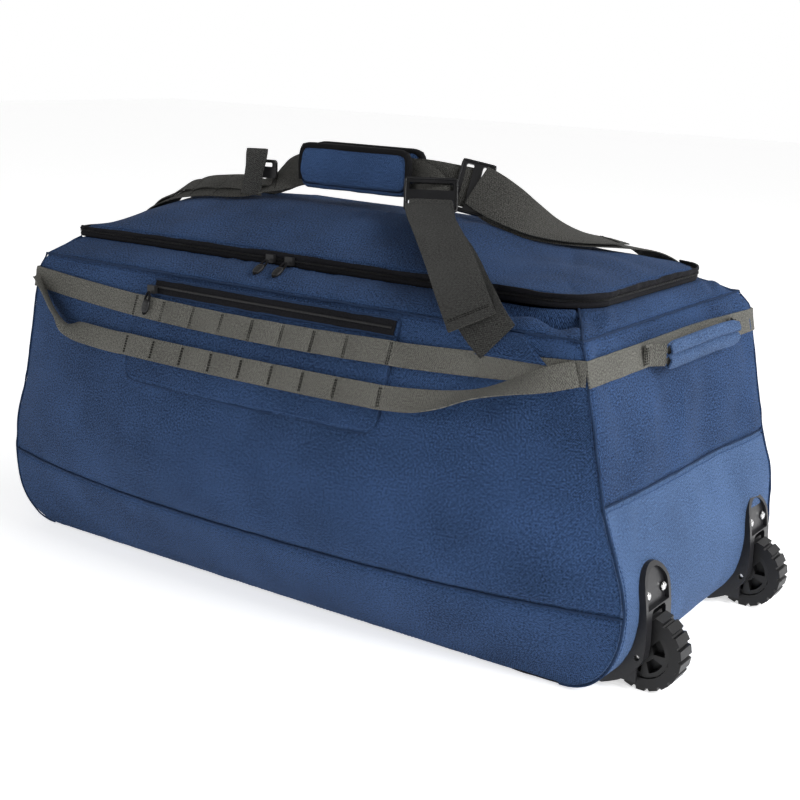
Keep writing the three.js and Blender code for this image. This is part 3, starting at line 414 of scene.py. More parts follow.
def sheet(name, p, outward, thick, material, body, mask=None, **more):
    """A closed sheet of cloth: the grid is its outside, and it is thick millimetres through."""
    n_u, n_v = p.shape[:2]
    n = normals_of(p, outward)
    inner = p - n * thick
    count = n_u * n_v
    index = np.arange(count).reshape(n_u, n_v)
    mask = np.ones((n_u - 1, n_v - 1), bool) if mask is None else mask
    a, b = index[:-1, :-1][mask], index[1:, :-1][mask]
    c, d = index[1:, 1:][mask], index[:-1, 1:][mask]
    top = np.stack([a, b, c, d], 1)
    turned = np.sum(np.cross(np.gradient(p, axis=0), np.gradient(p, axis=1)) * n) < 0
    if turned:
        top = top[:, ::-1]
    faces = [top, top[:, ::-1] + count]
    edges = {}
    for quad in top.tolist():
        for k in range(4):
            e = (quad[k], quad[(k + 1) % 4])
            if (e[1], e[0]) in edges:
                del edges[(e[1], e[0])]
            else:
                edges[e] = True
    rim = np.array([(e[1], e[0], e[0] + count, e[1] + count) for e in edges])
    faces.append(rim)
    points = np.vstack([p.reshape(-1, 3), inner.reshape(-1, 3)])
    uv = grid_uv(p).reshape(-1, 2)
    faces = np.vstack(faces)
    used = np.unique(faces)
    remap = np.full(2 * count, -1)
    remap[used] = np.arange(len(used))
    return make_object(name, points[used], remap[faces], material, body, uvs=np.vstack([uv, uv])[used], **more)


def edge_distances(p):
    """Distance of every grid point from the four edges, in the order u low, u high, v low, v high."""
    uv = grid_uv(p)
    u, v = uv[..., 0], uv[..., 1]
    return u, u.max() - u, v, v.max() - v


def dress(p, outward, seed, tuck=2.4, gather=1.0, folds=1.6, gather_size=11.0, edges=(1, 1, 1, 1)):
    """Makes a smooth grid look like sewn cloth: edges tucked into their seams, puckers and soft folds."""
    n = normals_of(p, outward)
    distances = edge_distances(p)
    uv = grid_uv(p)
    u, v = uv[..., 0], uv[..., 1]
    lift = np.zeros(p.shape[:2])
    for k, (distance, used) in enumerate(zip(distances, edges)):
        if not used:
            continue
        along = v if k < 2 else u
        lift -= tuck * np.exp(-((distance / 4.5) ** 2))
        ripple = noise(along / gather_size, distance / 60, seed * 7.3 + k * 3.1, seed)
        ripple += 0.5 * noise(along / (gather_size * 0.45), distance / 40, seed * 2.7 + k, seed + 5)
        strength = 0.5 + 0.5 * noise(along / 90, 0, seed + k * 1.7, seed + 9)
        lift += gather * strength * ripple * np.exp(-distance / 16) * (1 - np.exp(-((distance / 3) ** 2)))
    soft = noise(u / 120, v / 70, seed * 1.3, seed + 1) + 0.5 * noise(u / 55, v / 38, seed * 2.9, seed + 2)
    crease = 1 - np.abs(noise(u / 80 + 0.6 * soft, v / 50, seed * 4.1, seed + 3)) * 2
    near = np.minimum.reduce([d for d, used in zip(distances, edges) if used] + [np.full_like(u, 1e3)])
    lift += folds * (0.8 * soft + 0.35 * np.maximum(crease, 0) ** 3) * (1 - np.exp(-near / 14))
    return p + n * lift[..., None]


def tube(name, path, radius, material, body, sides=8, closed=False, flat=1.0, flat_dir=None, **more):
    """A round cord along a path of points; radius may be an array."""
    path = np.asarray(path, float)
    count = len(path)
    if closed:
        tangent = unit(np.roll(path, -1, 0) - np.roll(path, 1, 0))
    else:
        tangent = unit(np.gradient(path, axis=0))
    radius = np.broadcast_to(np.asarray(radius, float), (count,))
    side = np.zeros_like(path)
    guide = np.array(flat_dir if flat_dir is not None else (0.13, 0.27, 0.95), float)
    for i in range(count):
        if flat_dir is None and i:
            guide = side[i - 1]
        side[i] = unit(guide - tangent[i] * np.dot(guide, tangent[i]))
    up = np.cross(tangent, side)
    angles = np.linspace(0, 2 * math.pi, sides, endpoint=False)
    rings = (
        path[:, None]
        + side[:, None] * (np.cos(angles)[None, :, None] * radius[:, None, None] * flat)
        + up[:, None] * (np.sin(angles)[None, :, None] * radius[:, None, None])
    )
    uv = np.stack(np.meshgrid(arc_of(path), angles * float(radius.mean()), indexing="ij"), -1)
    return ring_object(name, rings, material, body, uv, closed, **more)


def spindles(name, starts, ends, radius, material, body, **more):
    """One mesh of many small stitches, each a thin spindle from a start to an end."""
    starts, ends = np.asarray(starts, float), np.asarray(ends, float)
    along = ends - starts
    t = unit(along)
    guide = np.where(np.abs(t[:, 2:3]) > 0.9, np.array([[1.0, 0, 0]]), np.array([[0, 0, 1.0]]))
    side = unit(np.cross(t, guide))
    up = np.cross(t, side)
    rings = []
    for share, size in ((0, 0.45), (0.2, 1), (0.8, 1), (1, 0.45)):
        for a in range(5):
            angle = a * 2 * math.pi / 5
            out = side * math.cos(angle) + up * math.sin(angle)
            rings.append(starts + along * share + radius * size * out)
    points = np.stack(rings, 1)
    faces = []
    for ring in range(3):
        for a in range(5):
            b = (a + 1) % 5
            faces.append((ring * 5 + a, ring * 5 + b, ring * 5 + 5 + b, ring * 5 + 5 + a))
    count = len(starts)
    block = np.arange(count)[:, None, None] * 20 + np.array(faces)[None]
    all_faces = [tuple(f) for f in block.reshape(-1, 4)]
    for i in range(count):
        all_faces.append(tuple(i * 20 + k for k in (4, 3, 2, 1, 0)))
        all_faces.append(tuple(i * 20 + 15 + k for k in range(5)))
    uv = np.stack([points[..., 0].ravel(), points[..., 2].ravel()], 1)
    return make_object(name, points.reshape(-1, 3), all_faces, material, body, uvs=uv, sharp=80, **more)


def stitch_line(path, length=3.4, gap=1.3):
    """Starts and ends of stitches along a path."""
    path = np.asarray(path, float)
    arc = arc_of(path)
    at = np.arange(gap, arc[-1] - length, length + gap)
    return at_arc(at, arc, path), at_arc(at + length, arc, path)


class Thread:
    """Collects stitches of one colour on one body, made as one mesh at the end."""

    def __init__(self):
        self.starts, self.ends = [], []

    def row(self, path, **more):
        s, e = stitch_line(path, **more)
        self.starts.append(s)
        self.ends.append(e)

    def make(self, name, radius, material, body, **more):
        return spindles(name, np.vstack(self.starts), np.vstack(self.ends), radius, material, body, **more)


def inside_row(p, outward, axis, distance, lift=0.25):
    """The line on a grid that is a distance in from its low edge (or its high one, when negative)."""
    uv = grid_uv(p)[..., axis]
    total = uv.max()
    n = normals_of(p, outward)
    want = distance if distance >= 0 else total + distance
    q = p + n * lift
    if axis == 0:
        k = np.searchsorted(uv[:, 0], want) - 1
        k = int(np.clip(k, 0, len(uv) - 2))
        t = (want - uv[k, 0]) / (uv[k + 1, 0] - uv[k, 0])
        return q[k] * (1 - t) + q[k + 1] * t
    k = int(np.clip(np.searchsorted(uv[0], want) - 1, 0, uv.shape[1] - 2))
    t = (want - uv[0, k]) / (uv[0, k + 1] - uv[0, k])
    return q[:, k] * (1 - t) + q[:, k + 1] * t


def ribbon(name, stops, thick, material, body, step=3.0, puff=None, width_points=9, edge=0.35, **more):
    """Webbing. Each stop is (x, y, z, across x, y, z, width). Returns the object and its centre line data."""
    stops = np.array([(*s[:3], *unit(s[3:6]), s[6]) for s in stops], float)
    line = resample(stops, step)
    centre, across, width = line[:, :3], line[:, 3:6], line[:, 6]
    tangent = unit(np.gradient(centre, axis=0))
    across = unit(across - tangent * np.sum(across * tangent, 1, keepdims=True))
    normal = np.cross(tangent, across)
    arc = arc_of(centre)
    if puff is not None:
        centre = centre + normal * puff(centre, arc)[:, None]
    share = np.linspace(-1, 1, width_points)
    bead = edge * np.exp(-(((1 - np.abs(share)) / 0.12) ** 2))
    upper, lower = [], []
    for s, b in zip(share, bead):
        middle = centre + across * (s * width / 2)[:, None]
        rounded = thick / 2 * (1 - 0.75 * max(0, (abs(s) - 0.94) / 0.06)) + b
        upper.append(middle + normal * rounded)
        lower.append(middle - normal * rounded)
    ring = np.stack(upper + lower[::-1], 1)
    count, sides = ring.shape[:2]
    index, faces = ring_faces(count, sides)
    for j in range(width_points - 1):
        far = sides - 1 - j
        faces.append((index[0, j], index[0, far], index[0, far - 1], index[0, j + 1]))
        faces.append((index[-1, j], index[-1, j + 1], index[-1, far - 1], index[-1, far]))
    v = np.concatenate([share, share[::-1]])[None] * (width.mean() / 2)
    uv = np.stack([np.repeat(arc[:, None], sides, 1), np.repeat(v, count, 0)], -1)
    made = make_object(name, ring.reshape(-1, 3), faces, material, body, uvs=uv.reshape(-1, 2), **more)
    return made, (centre, across, normal, width, arc)


def tack(thread, centre, across, normal, width, arc, at, lift, rows=3, spread=2.2, inset=2.0, both=False):
    """A bar of stitches across webbing at a place along it."""
    for r in range(rows):
        s = at + (r - (rows - 1) / 2) * spread
        c, a, n = (at_arc(s, arc, q) for q in (centre, across, normal))
        a, n = unit(a), unit(n)
        half = np.interp(s, arc, width) / 2 - inset
        for side in (1, -1) if both else (1,):
            path = [c + a * t * half + n * lift * side for t in np.linspace(-1, 1, 12)]
            thread.row(path, length=2.2, gap=0.7)


def sew(thread, grid, outward, *edges):
    """Rows of stitches inside a grid's edges, each given as its axis and its distance in."""
    for axis, distance in edges:
        thread.row(inside_row(grid, outward, axis, distance))


def body_cloth(name, grid, outward, node, thick=CLOTH_THICK, body="bag"):
    """A sheet of the bag's main cloth in place of a CAD node."""
    sheet(name, grid, outward, thick, BODY_CLOTH, body, node=node)


def cad_box(node):
    """A CAD node's lowest and highest corners, in the bag's millimetres."""
    return (np.array(corner) * 1000 + [MID_X, 0, 0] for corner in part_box(node))


front_thread, web_thread, lid_web_thread, lid_thread, pad_thread = (Thread() for _ in range(5))


# ---- Shell ----
def face_point(side, x, z, off=0.0):
    """A point on the front (side -1) or the back (side 1), lifted along the surface's normal."""
    x, z = np.broadcast_arrays(np.asarray(x, float), np.asarray(z, float))
    y = HALF_WIDTH + bulge(x, z)
    h = 0.5
    slope_x = (bulge(x + h, z) - bulge(x - h, z)) / (2 * h)
    slope_z = (bulge(x, z + h) - bulge(x, z - h)) / (2 * h)
    n = unit(np.stack([-slope_x, np.ones_like(x), -slope_z], -1))
    off = np.asarray(off, float)[..., None]
    return np.stack([x + 0 * y, y, z], -1) * [1, side, 1] + n * [1, side, 1] * off


def long_panel(side, z_low, z_high, n_x, n_z):
    arcs = np.linspace(arc_at(z_low), arc_at(z_high), n_z)
    xs, zs = outline_at(arcs)
    share = np.linspace(-1, 1, n_x)
    x = share[:, None] * xs[None]
    return points_of(x, side * (HALF_WIDTH + bulge(x, zs[None])), zs[None])


def anchor_folds(x, z):
    """Folds that fan out from the strap anchor and slack under the top seam at the wheel end."""
    fan = np.arctan2(x - 300, 360 - z + 30)
    reach = np.hypot((x - 300) / 120, (z - 345) / 90)
    return 1.8 * np.sin(fan * 9 + 1) * np.exp(-(reach**2))


for side, label in ((-1, "front"), (1, "back")):
    upper = long_panel(side, BASE_SEAM_Z, TOP_Z, 220, 84)
    upper = dress(upper, (0, side, 0), 11 + side, gather=1.3, folds=1.8)
    upper[..., 1] += side * anchor_folds(upper[..., 0], upper[..., 2])
    body_cloth(label + "_panel_cloth", upper, (0, side, 0), label + "_panel")
    lower = long_panel(side, FLOOR_Z, BASE_SEAM_Z, 220, 30)
    lower = dress(lower, (0, side, 0), 21 + side, gather=0.6, folds=1.3)
    body_cloth(label + "_base_cloth", lower, (0, side, 0), label + "_base")
    for grid, distance in ((upper, 1), (lower, 1), (lower, -1), (upper, -1)):
        sew(front_thread, grid, (0, side, 0), (1, distance * SEAM_STITCH))


def end_panel(end, z_low, z_high, y, n_z):
    arcs = np.linspace(arc_at(z_low), arc_at(z_high), n_z)
    xs, zs = outline_at(arcs)
    x = xs[None] + end_bulge(y[:, None], zs[None])
    return points_of(end * x, y[:, None], zs[None])


end_y = np.linspace(-HALF_WIDTH, HALF_WIDTH, 110)
panel = end_panel(1, PAD_TOP_Z, TOP_Z, end_y, 52)
y, z = panel[..., 1], panel[..., 2]
panel[..., 0] += 2.6 * np.sin((y + 0.25 * z) / 10) * hump(np.abs(y), 168, 30) * hump(z, 305, 45)
panel[..., 0] += 2.0 * np.sin((y - 0.3 * z) / 15) * hump(z, 235, 40) * (1 - hump(np.abs(y), 194, 20))
panel = dress(panel, (1, 0, 0), 31, gather=1.8, folds=2.6, gather_size=14)
body_cloth("wheel_end_panel_cloth", panel, (1, 0, 0), "wheel_end_panel")
sew(front_thread, panel, (1, 0, 0), (1, SEAM_STITCH), (1, -SEAM_STITCH), (0, SEAM_STITCH), (0, -SEAM_STITCH))

# The padded panel has two slots for the wheel wells, so grid lines run along the slots' edges.
WELL_HALF = 20.5
WELL_TOP = 90.0
near, beyond = WHEEL_Y - WELL_HALF, WHEEL_Y + WELL_HALF
cuts = [-HALF_WIDTH, -beyond, -near, near, beyond, HALF_WIDTH]
pieces = [np.linspace(a, b, c, endpoint=False) for a, b, c in zip(cuts, cuts[1:], (12, 12, 60, 12, 12))]
ys = np.concatenate(pieces + [[HALF_WIDTH]])
pad = end_panel(1, FLOOR_Z, PAD_TOP_Z, ys, 80)
y, z = pad[..., 1], pad[..., 2]
pad[..., 0] += 1.7 * np.sin((y - 0.5 * z) / 8) * hump(y, -155, 32) * hump(z, 168, 24)
pad[..., 0] += 1.3 * np.sin((y + 0.6 * z) / 11) * hump(y, 10, 90) * hump(z, 160, 26)
pad = dress(pad, (1, 0, 0), 41, tuck=3.0, gather=1.0, folds=1.5)
middle_y = (ys[1:] + ys[:-1]) / 2
middle_z = outline_at(np.linspace(arc_at(FLOOR_Z), arc_at(PAD_TOP_Z), 80))[1]
middle_z = (middle_z[1:] + middle_z[:-1]) / 2
in_well = (np.abs(np.abs(middle_y) - WHEEL_Y) < WELL_HALF)[:, None] & (middle_z < WELL_TOP)[None]
# Its lighter cloth carries painted light on the wheel end as well as its own tone.
sheet("wheel_end_pad_cloth", pad, (1, 0, 0), 3.4, LIT_PAD_CLOTH, "bag", mask=~in_well, node="wheel_end_pad")
sew(pad_thread, pad, (1, 0, 0), (1, -6), (0, 6), (0, -6))

far = end_panel(-1, FLOOR_Z, TOP_Z, end_y, 120)
far = dress(far, (-1, 0, 0), 51, gather=1.4, folds=2.2, gather_size=14)
body_cloth("far_end_panel_cloth", far, (-1, 0, 0), "far_end_panel")
sew(front_thread, far, (-1, 0, 0), (1, -SEAM_STITCH), (0, SEAM_STITCH), (0, -SEAM_STITCH))

xs = np.linspace(-HALF_FLOOR, HALF_FLOOR, 180)
ys = np.linspace(-HALF_WIDTH, HALF_WIDTH, 100)
base = points_of(xs[:, None], ys[None], FLOOR_Z + 0.3)
base[..., 2] += 0.5 * (noise(xs[:, None] / 60, ys[None] / 60, 3.3, 61) + 1)
body_cloth("base_floor_cloth", base, (0, 0, -1), "base_floor", 2.0)


# Seams where the panels meet: a thin folded cord follows each, in a darker blue that is partly piping and partly
# painted shade along the seam.
def seam_cord(name, points, radius=1.2, seed=1, step=4.0, body="bag", material=PIPING_AND_SHADE_CLOTH, slot=None):
    line = resample(points, step)
    arc = arc_of(line)
    wobble = np.stack([noise(arc / 14, k * 3.7, seed, seed) for k in range(3)], 1) * 0.5
    uneven = radius * (1 + 0.15 * noise(arc / 9, 0, seed, 3))
    return tube(name, line + wobble, uneven, material, body, slot=slot)


full = np.linspace(0, outline_arc[-1] - 2.5, 40)
for side, label in ((-1, "front"), (1, "back")):
    for end, place in ((1, "wheel"), (-1, "far")):
        ox, oz = outline_at(full)
        line = points_of(end * (ox - 0.6), side * (HALF_WIDTH - 0.6), oz)
        seam_cord(f"seam_{label}_{place}_end", line, seed=5 + end + 3 * side)
    x = np.linspace(-1, 1, 60)
    for z, place in ((BASE_SEAM_Z, "base"), (TOP_Z + 0.6, "top")):
        px = x * float(half_length(z))
        seam_cord(f"seam_{label}_{place}", face_point(side, px, z, -0.8), seed=9 + side, radius=1.25)
    line = points_of(x * HALF_FLOOR, side * (HALF_WIDTH - 1), FLOOR_Z + 1.2)
    seam_cord(f"seam_{label}_floor", line, radius=1.6, material=BLACK_CLOTH, slot="body_fabric", seed=17)
ys = np.linspace(-HALF_WIDTH + 1, HALF_WIDTH - 1, 30)
# Along the padded panel's top the cord's dark blue is painted shade at the panel's edge.
for end, z, label in ((1, PAD_TOP_Z, "pad_top"), (1, TOP_Z + 0.6, "wheel_top"), (-1, TOP_Z + 0.6, "far_top")):
    px = end * (half_length(z) + end_bulge(ys, z) - 0.8)
    seam_cord(f"seam_{label}", points_of(px, ys, z), seed=23, radius=1.1)


# ---- Collar ----
def collar_point(side, share, v):
    """The front and back collar: share runs along it from -1 to 1, v from its outer seam to the zip."""
    x = share * mix(HALF_TOP, COLLAR_X, v)
    y = mix(HALF_WIDTH + bulge(x, TOP_Z), COLLAR_Y, v)
    return points_of(x, side * y, mix(COLLAR_Z, ZIP_SEAM_Z, v))


def rounded_in(x, y, half_x, half_y, radius=OPENING_RADIUS):
    """Draws the wheel end corners of a rectangle in to a round, for points on or inside it."""
    dx, dy = np.abs(x) - (half_x - radius), np.abs(y) - (half_y - radius)
    corner = (dx > 0) & (dy > 0) & (x > 0)
    pull = np.where(corner, np.maximum(dx, dy) / np.maximum(np.hypot(dx, dy), 1e-6), 1.0)
    return (
        np.where(corner, np.sign(x) * (half_x - radius + dx * pull), x),
        np.where(corner, np.sign(y) * (half_y - radius + dy * pull), y),
    )


def end_collar_point(end, share, v):
    half = mix(HALF_WIDTH, COLLAR_Y, v)
    return points_of(end * mix(HALF_TOP, COLLAR_X, v), share * half, mix(COLLAR_Z, ZIP_SEAM_Z, v))


def collar_grid(point, place, share, v):
    """A grid of a collar's points whose inner edge keeps to the rounded zip line."""
    p, inner = point(place, share, v), point(place, share, 1.0 + 0 * v)
    x, y = rounded_in(inner[..., 0], inner[..., 1], COLLAR_X, COLLAR_Y)
    p[..., 0] += (x - inner[..., 0]) * v
    p[..., 1] += (y - inner[..., 1]) * v
    return p


v = np.linspace(0, 1, 22)[None]
for side, label in ((-1, "front"), (1, "back")):
    share = np.linspace(-1, 1, 230)[:, None]
    p = collar_grid(collar_point, side, share, v)
    p[..., 2] += 4.5 * np.sin(np.pi * v) * (1 - np.abs(share) ** 4)
    # Slack cloth lies in folds by the strap anchor.
    x = p[..., 0]
    p[..., 2] += 2.6 * np.sin(x / 9.5 + 3 * v) * hump(x, 255, 60) * np.sin(np.pi * v)
    valley = hump(x, 300, 56) * hump(v, 0.72 - 0.0012 * (x - 300), 0.2)
    p[..., 2] -= 19 * valley * (1 - smooth_step(x, 335, 366))
    p[..., 2] += 4.2 * np.sin((x - 300) / 10 + 4 * v) * hump(x, 326, 28) * np.sin(np.pi * v)
    p = dress(p, (0, side * 0.3, 1), 71 + side, gather=2.0, folds=2.0, gather_size=13)
    body_cloth(f"collar_{label}_cloth", p, (0, side * 0.3, 1), f"collar_{label}", 2.2)
    sew(front_thread, p, (0, side * 0.3, 1), (1, 5), (1, -5))
for end, label in ((1, "wheel"), (-1, "far")):
    share = np.linspace(-1, 1, 110)[:, None]
    p = collar_grid(end_collar_point, end, share, v)
    p[..., 2] += 3.0 * np.sin(np.pi * v) * (1 - np.abs(share) ** 4)
    y = p[..., 1]
    p[..., 2] += 3.6 * np.sin((y + 150) / 9 - 3 * v) * hump(np.abs(y), 138, 34) * np.sin(np.pi * v)
    p = dress(p, (end * 0.3, 0, 1), 81 + end, gather=1.8, folds=1.5, gather_size=12)
    body_cloth(f"collar_{label}_end_cloth", p, (end * 0.3, 0, 1), f"collar_{label}_end", 2.2)
    sew(front_thread, p, (end * 0.3, 0, 1), (1, 4))
t = np.linspace(0, 1, 8)
for side, label in ((-1, "front"), (1, "back")):
    for end, place in ((-1, "far"), (1, "wheel")):
        drawn_in = 15.2 * t * (end > 0)
        x = end * (mix(HALF_TOP, COLLAR_X, t) - drawn_in)
        y = side * (mix(HALF_WIDTH, COLLAR_Y, t) - drawn_in)
        line = points_of(x, y, mix(COLLAR_Z, ZIP_SEAM_Z, t) - 2.2)
        seam_cord(f"seam_collar_{label}_{place}", line, seed=31, radius=1.4)


# ---- Zip round the opening: tape, teeth and the folded band on the lid ----
def opening_path(inset, stop_y):
    """The U round the far end, the front and the wheel end, with rounded corners."""
    x, y, r, tight = ZIP_X + inset, ZIP_Y + inset, OPENING_RADIUS, 7.0
    turn = np.linspace(0, math.pi / 2, 13)
    points = [(-x, stop_y), (-x, 60), (-x, -40)]
    points += [(-x + tight - tight * math.cos(a), -y + tight - tight * math.sin(a)) for a in turn[::3]]
    points += [(s, -y) for s in np.linspace(-x + 90, x - 90, 9)]
    points += [(x - r + r * math.sin(a), -y + r - r * math.cos(a)) for a in turn]
    points += [(x, -40), (x, 40)]
    points += [(x - r + r * math.cos(a), y - r + r * math.sin(a)) for a in turn[:11]]
    return np.array(points)


def wall_along(
    name, path, z_low, z_high, thick, material, body, wave=0.0, lean=0.0, seed=1, drop=0.0, overhang=0.0,
    flange=False, **more,
):
    """A low wall of cloth standing along a path, facing out of the opening."""
    flat = resample(np.column_stack([path, np.zeros(len(path))]), 3.0)
    tangent = unit(np.gradient(flat, axis=0))
    out = np.stack([tangent[:, 1], -tangent[:, 0], 0 * tangent[:, 0]], 1)
    arc = arc_of(flat)
    share = np.linspace(0, 1, 7)
    ripple = noise(arc[:, None] / 17, share[None] * 0.8, seed, seed)
    ripple += 0.6 * noise(arc[:, None] / 7, share[None], seed, 4)
    rise = noise(arc / 26, 0.3, seed, seed + 2)
    # The band lies down towards the far end.
    down = drop * (1 - smooth_step(flat[:, 0], -ZIP_X - 5, -ZIP_X + 190))
    off = wave * ripple + lean * share[None] + 1.2 * np.sin(np.pi * share)[None] * (wave > 0)
    off = off + (overhang * hump(flat[:, 0], 300, 60) * (flat[:, 1] < -90))[:, None] * share[None]
    p = flat[:, None] + out[:, None] * off[..., None]
    p[..., 2] = z_low + share[None] * (z_high - z_low) + (wave * 1.1 * rise - down)[:, None] * share[None]
    if flange:
        # A narrow fold turns in from the wall's foot, to cover the lid's edge.
        steps = ((-9, 2.4), (-6, 1.4), (-2.5, 0.3))
        inner = [flat + out * reach + [0, 0, z_low + rise_in] for reach, rise_in in steps]
        p = np.concatenate([np.stack(inner, 1), p], 1)
    n_out = np.broadcast_to(out[:, None], p.shape)
    return sheet(name, p, n_out, thick, material, body, **more), flat, out, arc


path = opening_path(1.6, ZIP_Y - 6)
wall_along(
    "opening_zip_tape_cloth", path, 368.5, 374.6, 1.4, BLACK_CLOTH, "bag",
    node="opening_zip_tape", wave=0.15, seed=3,
)
_, flat_line, out_dir, arc_line = wall_along(
    "lid_zip_band", path, 376.4, 383.2, 1.8, BLACK_CLOTH, "lid",
    node="lid_zip_tape", wave=1.0, lean=0.6, seed=8, drop=3.0, overhang=4.0, flange=True,
)
for z, body, label, lift in ((375.1, "bag", "lower", 0.0), (376.2, "lid", "upper", 0.75)):
    at = np.arange(2, arc_line[-1] - 2, 1.5) + lift
    centre, outward = at_arc(at, arc_line, flat_line), at_arc(at, arc_line, out_dir)
    centre[:, 2] = z
    spindles(f"opening_teeth_{label}", centre - outward * 0.6, centre + outward * 2.0, 0.6, BLACK_PLASTIC, body)
x = np.linspace(-ZIP_X + 3, ZIP_X - 48, 120)
p = points_of(x[:, None], ZIP_Y + 1.6, np.linspace(365, 379.6, 5)[None])
p[..., 1] += 0.4 * noise(x[:, None] / 15, p[..., 2] / 9, 2, 5)
sheet("lid_hinge_fold", p, (0, 1, 0), 1.5, BLACK_CLOTH, "bag", node="lid_hinge_seam")

# ---- Lid ----
hinge_x = np.linspace(-ZIP_X + 4, ZIP_X - 46, 60)
seam_cord(
    "lid_hinge_roll", points_of(hinge_x, ZIP_Y - 1.6, 378.6),
    radius=2.3, body="lid", material=BLACK_CLOTH, seed=43,
)
share_x = np.linspace(-1, 1, 230)[:, None]
share_y = np.linspace(-1, 1, 110)[None]
x = share_x * (ZIP_X - 0.6) + 0 * share_y
y = share_y * (ZIP_Y - 0.6) + 0 * share_x
z = lid_top(x, y)
x, y = rounded_in(x, y, ZIP_X - 0.6, ZIP_Y - 0.6)
z -= 5.5 * hump(x, 195, 38) * hump(y, -25, 55)
z -= 2.4 * hump(x - 0.4 * y, 120, 9) * hump(y, 20, 50)
z -= 2.2 * hump(x + 0.5 * y, 250, 10) * hump(y, -20, 60)
z += 1.8 * np.sin((y + 0.3 * x) / 13) * hump(x, 285, 45) * hump(y, 0, 90)
z += 1.3 * np.sin((x - 0.2 * y) / 15) * hump(y, -118, 22)
lid = np.stack([x, y, z], -1)
lid = dress(lid, (0, 0, 1), 91, gather=1.5, folds=1.6, gather_size=15)
body_cloth("lid_cloth", lid, (0, 0, 1), "lid_panel", body="lid")
sew(lid_thread, lid, (0, 0, 1), (1, 6), (1, -6), (0, 6), (0, -6))

# ---- Pocket ----
POCKET_LOW, POCKET_HIGH, POCKET_CORNER = 231.0, 342.5, 16.0
u = np.linspace(0, 1, 130)[:, None]
w = np.linspace(0, 1, 48)[None]
px = POCKET_LEFT + (POCKET_RIGHT - POCKET_LEFT) * u
pz = POCKET_LOW + (POCKET_HIGH - POCKET_LOW) * w
# The bottom corners are rounded: the lowest rows of the grid draw in and up.
side_gap = np.minimum(px - POCKET_LEFT, POCKET_RIGHT - px)
inward = np.maximum(0, POCKET_CORNER - side_gap)
rounding = np.where(inward > 0, POCKET_CORNER - np.sqrt(np.maximum(0, POCKET_CORNER**2 - inward**2)), 0)
pz = pz + rounding * (1 - w) ** 2
off = 2.4 + 1.6 * np.minimum(1, np.minimum(side_gap, 40) / 40) * np.sin(np.pi * w) ** 0.5
off = off + 0.5 * noise(px / 40, pz / 30, 1.1, 7) + 0.4 * noise(px / 13, pz / 60, 2.1, 8) * (w < 0.2)
pocket = face_point(-1, px, pz, off)
body_cloth("pocket_cloth", pocket, (0, -1, 0), "pocket_panel", 2.2)
sew(front_thread, pocket, (0, -1, 0), (1, 3.2), (0, 3.2), (0, -3.2), (1, -2.5))
left = [(0, 322), (0, 290), (0, 262), (1, 246), (6, 236), (17, 231)]
right = [(17, 231), (6, 236), (1, 246), (0, 262), (0, 290), (0, 340)]
edge = [(POCKET_LEFT + inset, z) for inset, z in left] + [(x, POCKET_LOW) for x in range(-120, 121, 60)]
edge = np.array(edge + [(POCKET_RIGHT - inset, z) for inset, z in right], float)
# A dark cord round the pocket's sides and bottom paints the shade in the gap at the pocket's edge.
seam_cord("pocket_edge_shade_cord", face_point(-1, edge[:, 0], edge[:, 1], 1.2), radius=1.3, seed=41)
ZIP_LOW, ZIP_HIGH = 325.5, 341.0
u = np.linspace(POCKET_LEFT + 22, POCKET_RIGHT - 3, 110)[:, None]
w = np.linspace(ZIP_LOW, ZIP_HIGH, 9)[None]
tape = face_point(-1, u, w, 5.2 + 0.2 * noise(u / 20, w / 9, 1, 9))
sheet("pocket_zip_cloth", tape, (0, -1, 0), 1.2, BLACK_CLOTH, "bag", node="pocket_zip_tape")
at = np.arange(POCKET_LEFT + 26, POCKET_RIGHT - 7, 1.5)
for shift, dz, label in ((0, -0.1, "lower"), (0.75, 0.1, "upper")):
    low = face_point(-1, at + shift, 332.0 + dz, 5.8)
    high = face_point(-1, at + shift, 334.4 + dz, 5.8)
    spindles(f"pocket_teeth_{label}", low, high, 0.55, BLACK_PLASTIC, "bag")
for z, label in ((ZIP_LOW - 0.4, "lower"), (ZIP_HIGH + 0.4, "upper")):
    x = np.linspace(POCKET_LEFT + 20, POCKET_RIGHT - 1, 60)
    seam_cord(f"pocket_welt_{label}", face_point(-1, x, z, 4.6), radius=1.3, seed=37)


# ---- Webbing rows on the front and the belt round the bag ----
def row_middle(x):
    return 307 + 12 * (x / HALF_TOP) ** 2


def loops(x, columns, height):
    """Webbing stands off between its lines of stitches."""
    lift = np.zeros_like(x)
    for a, b in zip(columns, columns[1:]):
        inside = (x > a) & (x < b)
        lift = np.where(inside, height * np.abs(np.sin(np.pi * (x - a) / (b - a))) ** 0.7, lift)
    return lift


def over_pocket(x):
    rise = smooth_step(x, POCKET_LEFT - 8, POCKET_LEFT + 1)
    return 1.5 + 4.6 * rise * (1 - smooth_step(x, POCKET_RIGHT - 1, POCKET_RIGHT + 8))


across = np.linspace(-1, 1, 11)[None]
x = np.linspace(-HALF_TOP - 6, HALF_TOP + 6, 300)[:, None]
middle = row_middle(x)
lean = np.arctan((bulge(x, middle + 1) - bulge(x, middle - 1)) / 2)
z = middle + across * HALF_WEB * np.cos(lean)
off = over_pocket(x) + loops(x, STITCH_COLUMNS, 2.6) + 0.5 * noise(x / 24, across * 0.7, 4, 11)
limit = half_length(z) + 1.2
row = face_point(-1, np.clip(x, -limit, limit), z, off + 1.0)
sheet("webbing_upper", row, (0, -1, 0), WEB_THICK, WEBBING_CLOTH, "bag", node="webbing_upper_row")
for column in STITCH_COLUMNS:
    for step in (-1.1, 1.1):
        zs = row_middle(column) + np.linspace(-11.6, 11.6, 16)
        web_thread.row(face_point(-1, column + step, zs, over_pocket(column) + 1.35), length=2.0, gap=0.6)


LOWER_ROW_Z = 267


def front_stop(x, z, off, across, wide=25.0):
    point = face_point(-1, x, z, off)
    return (*point, *across, wide)


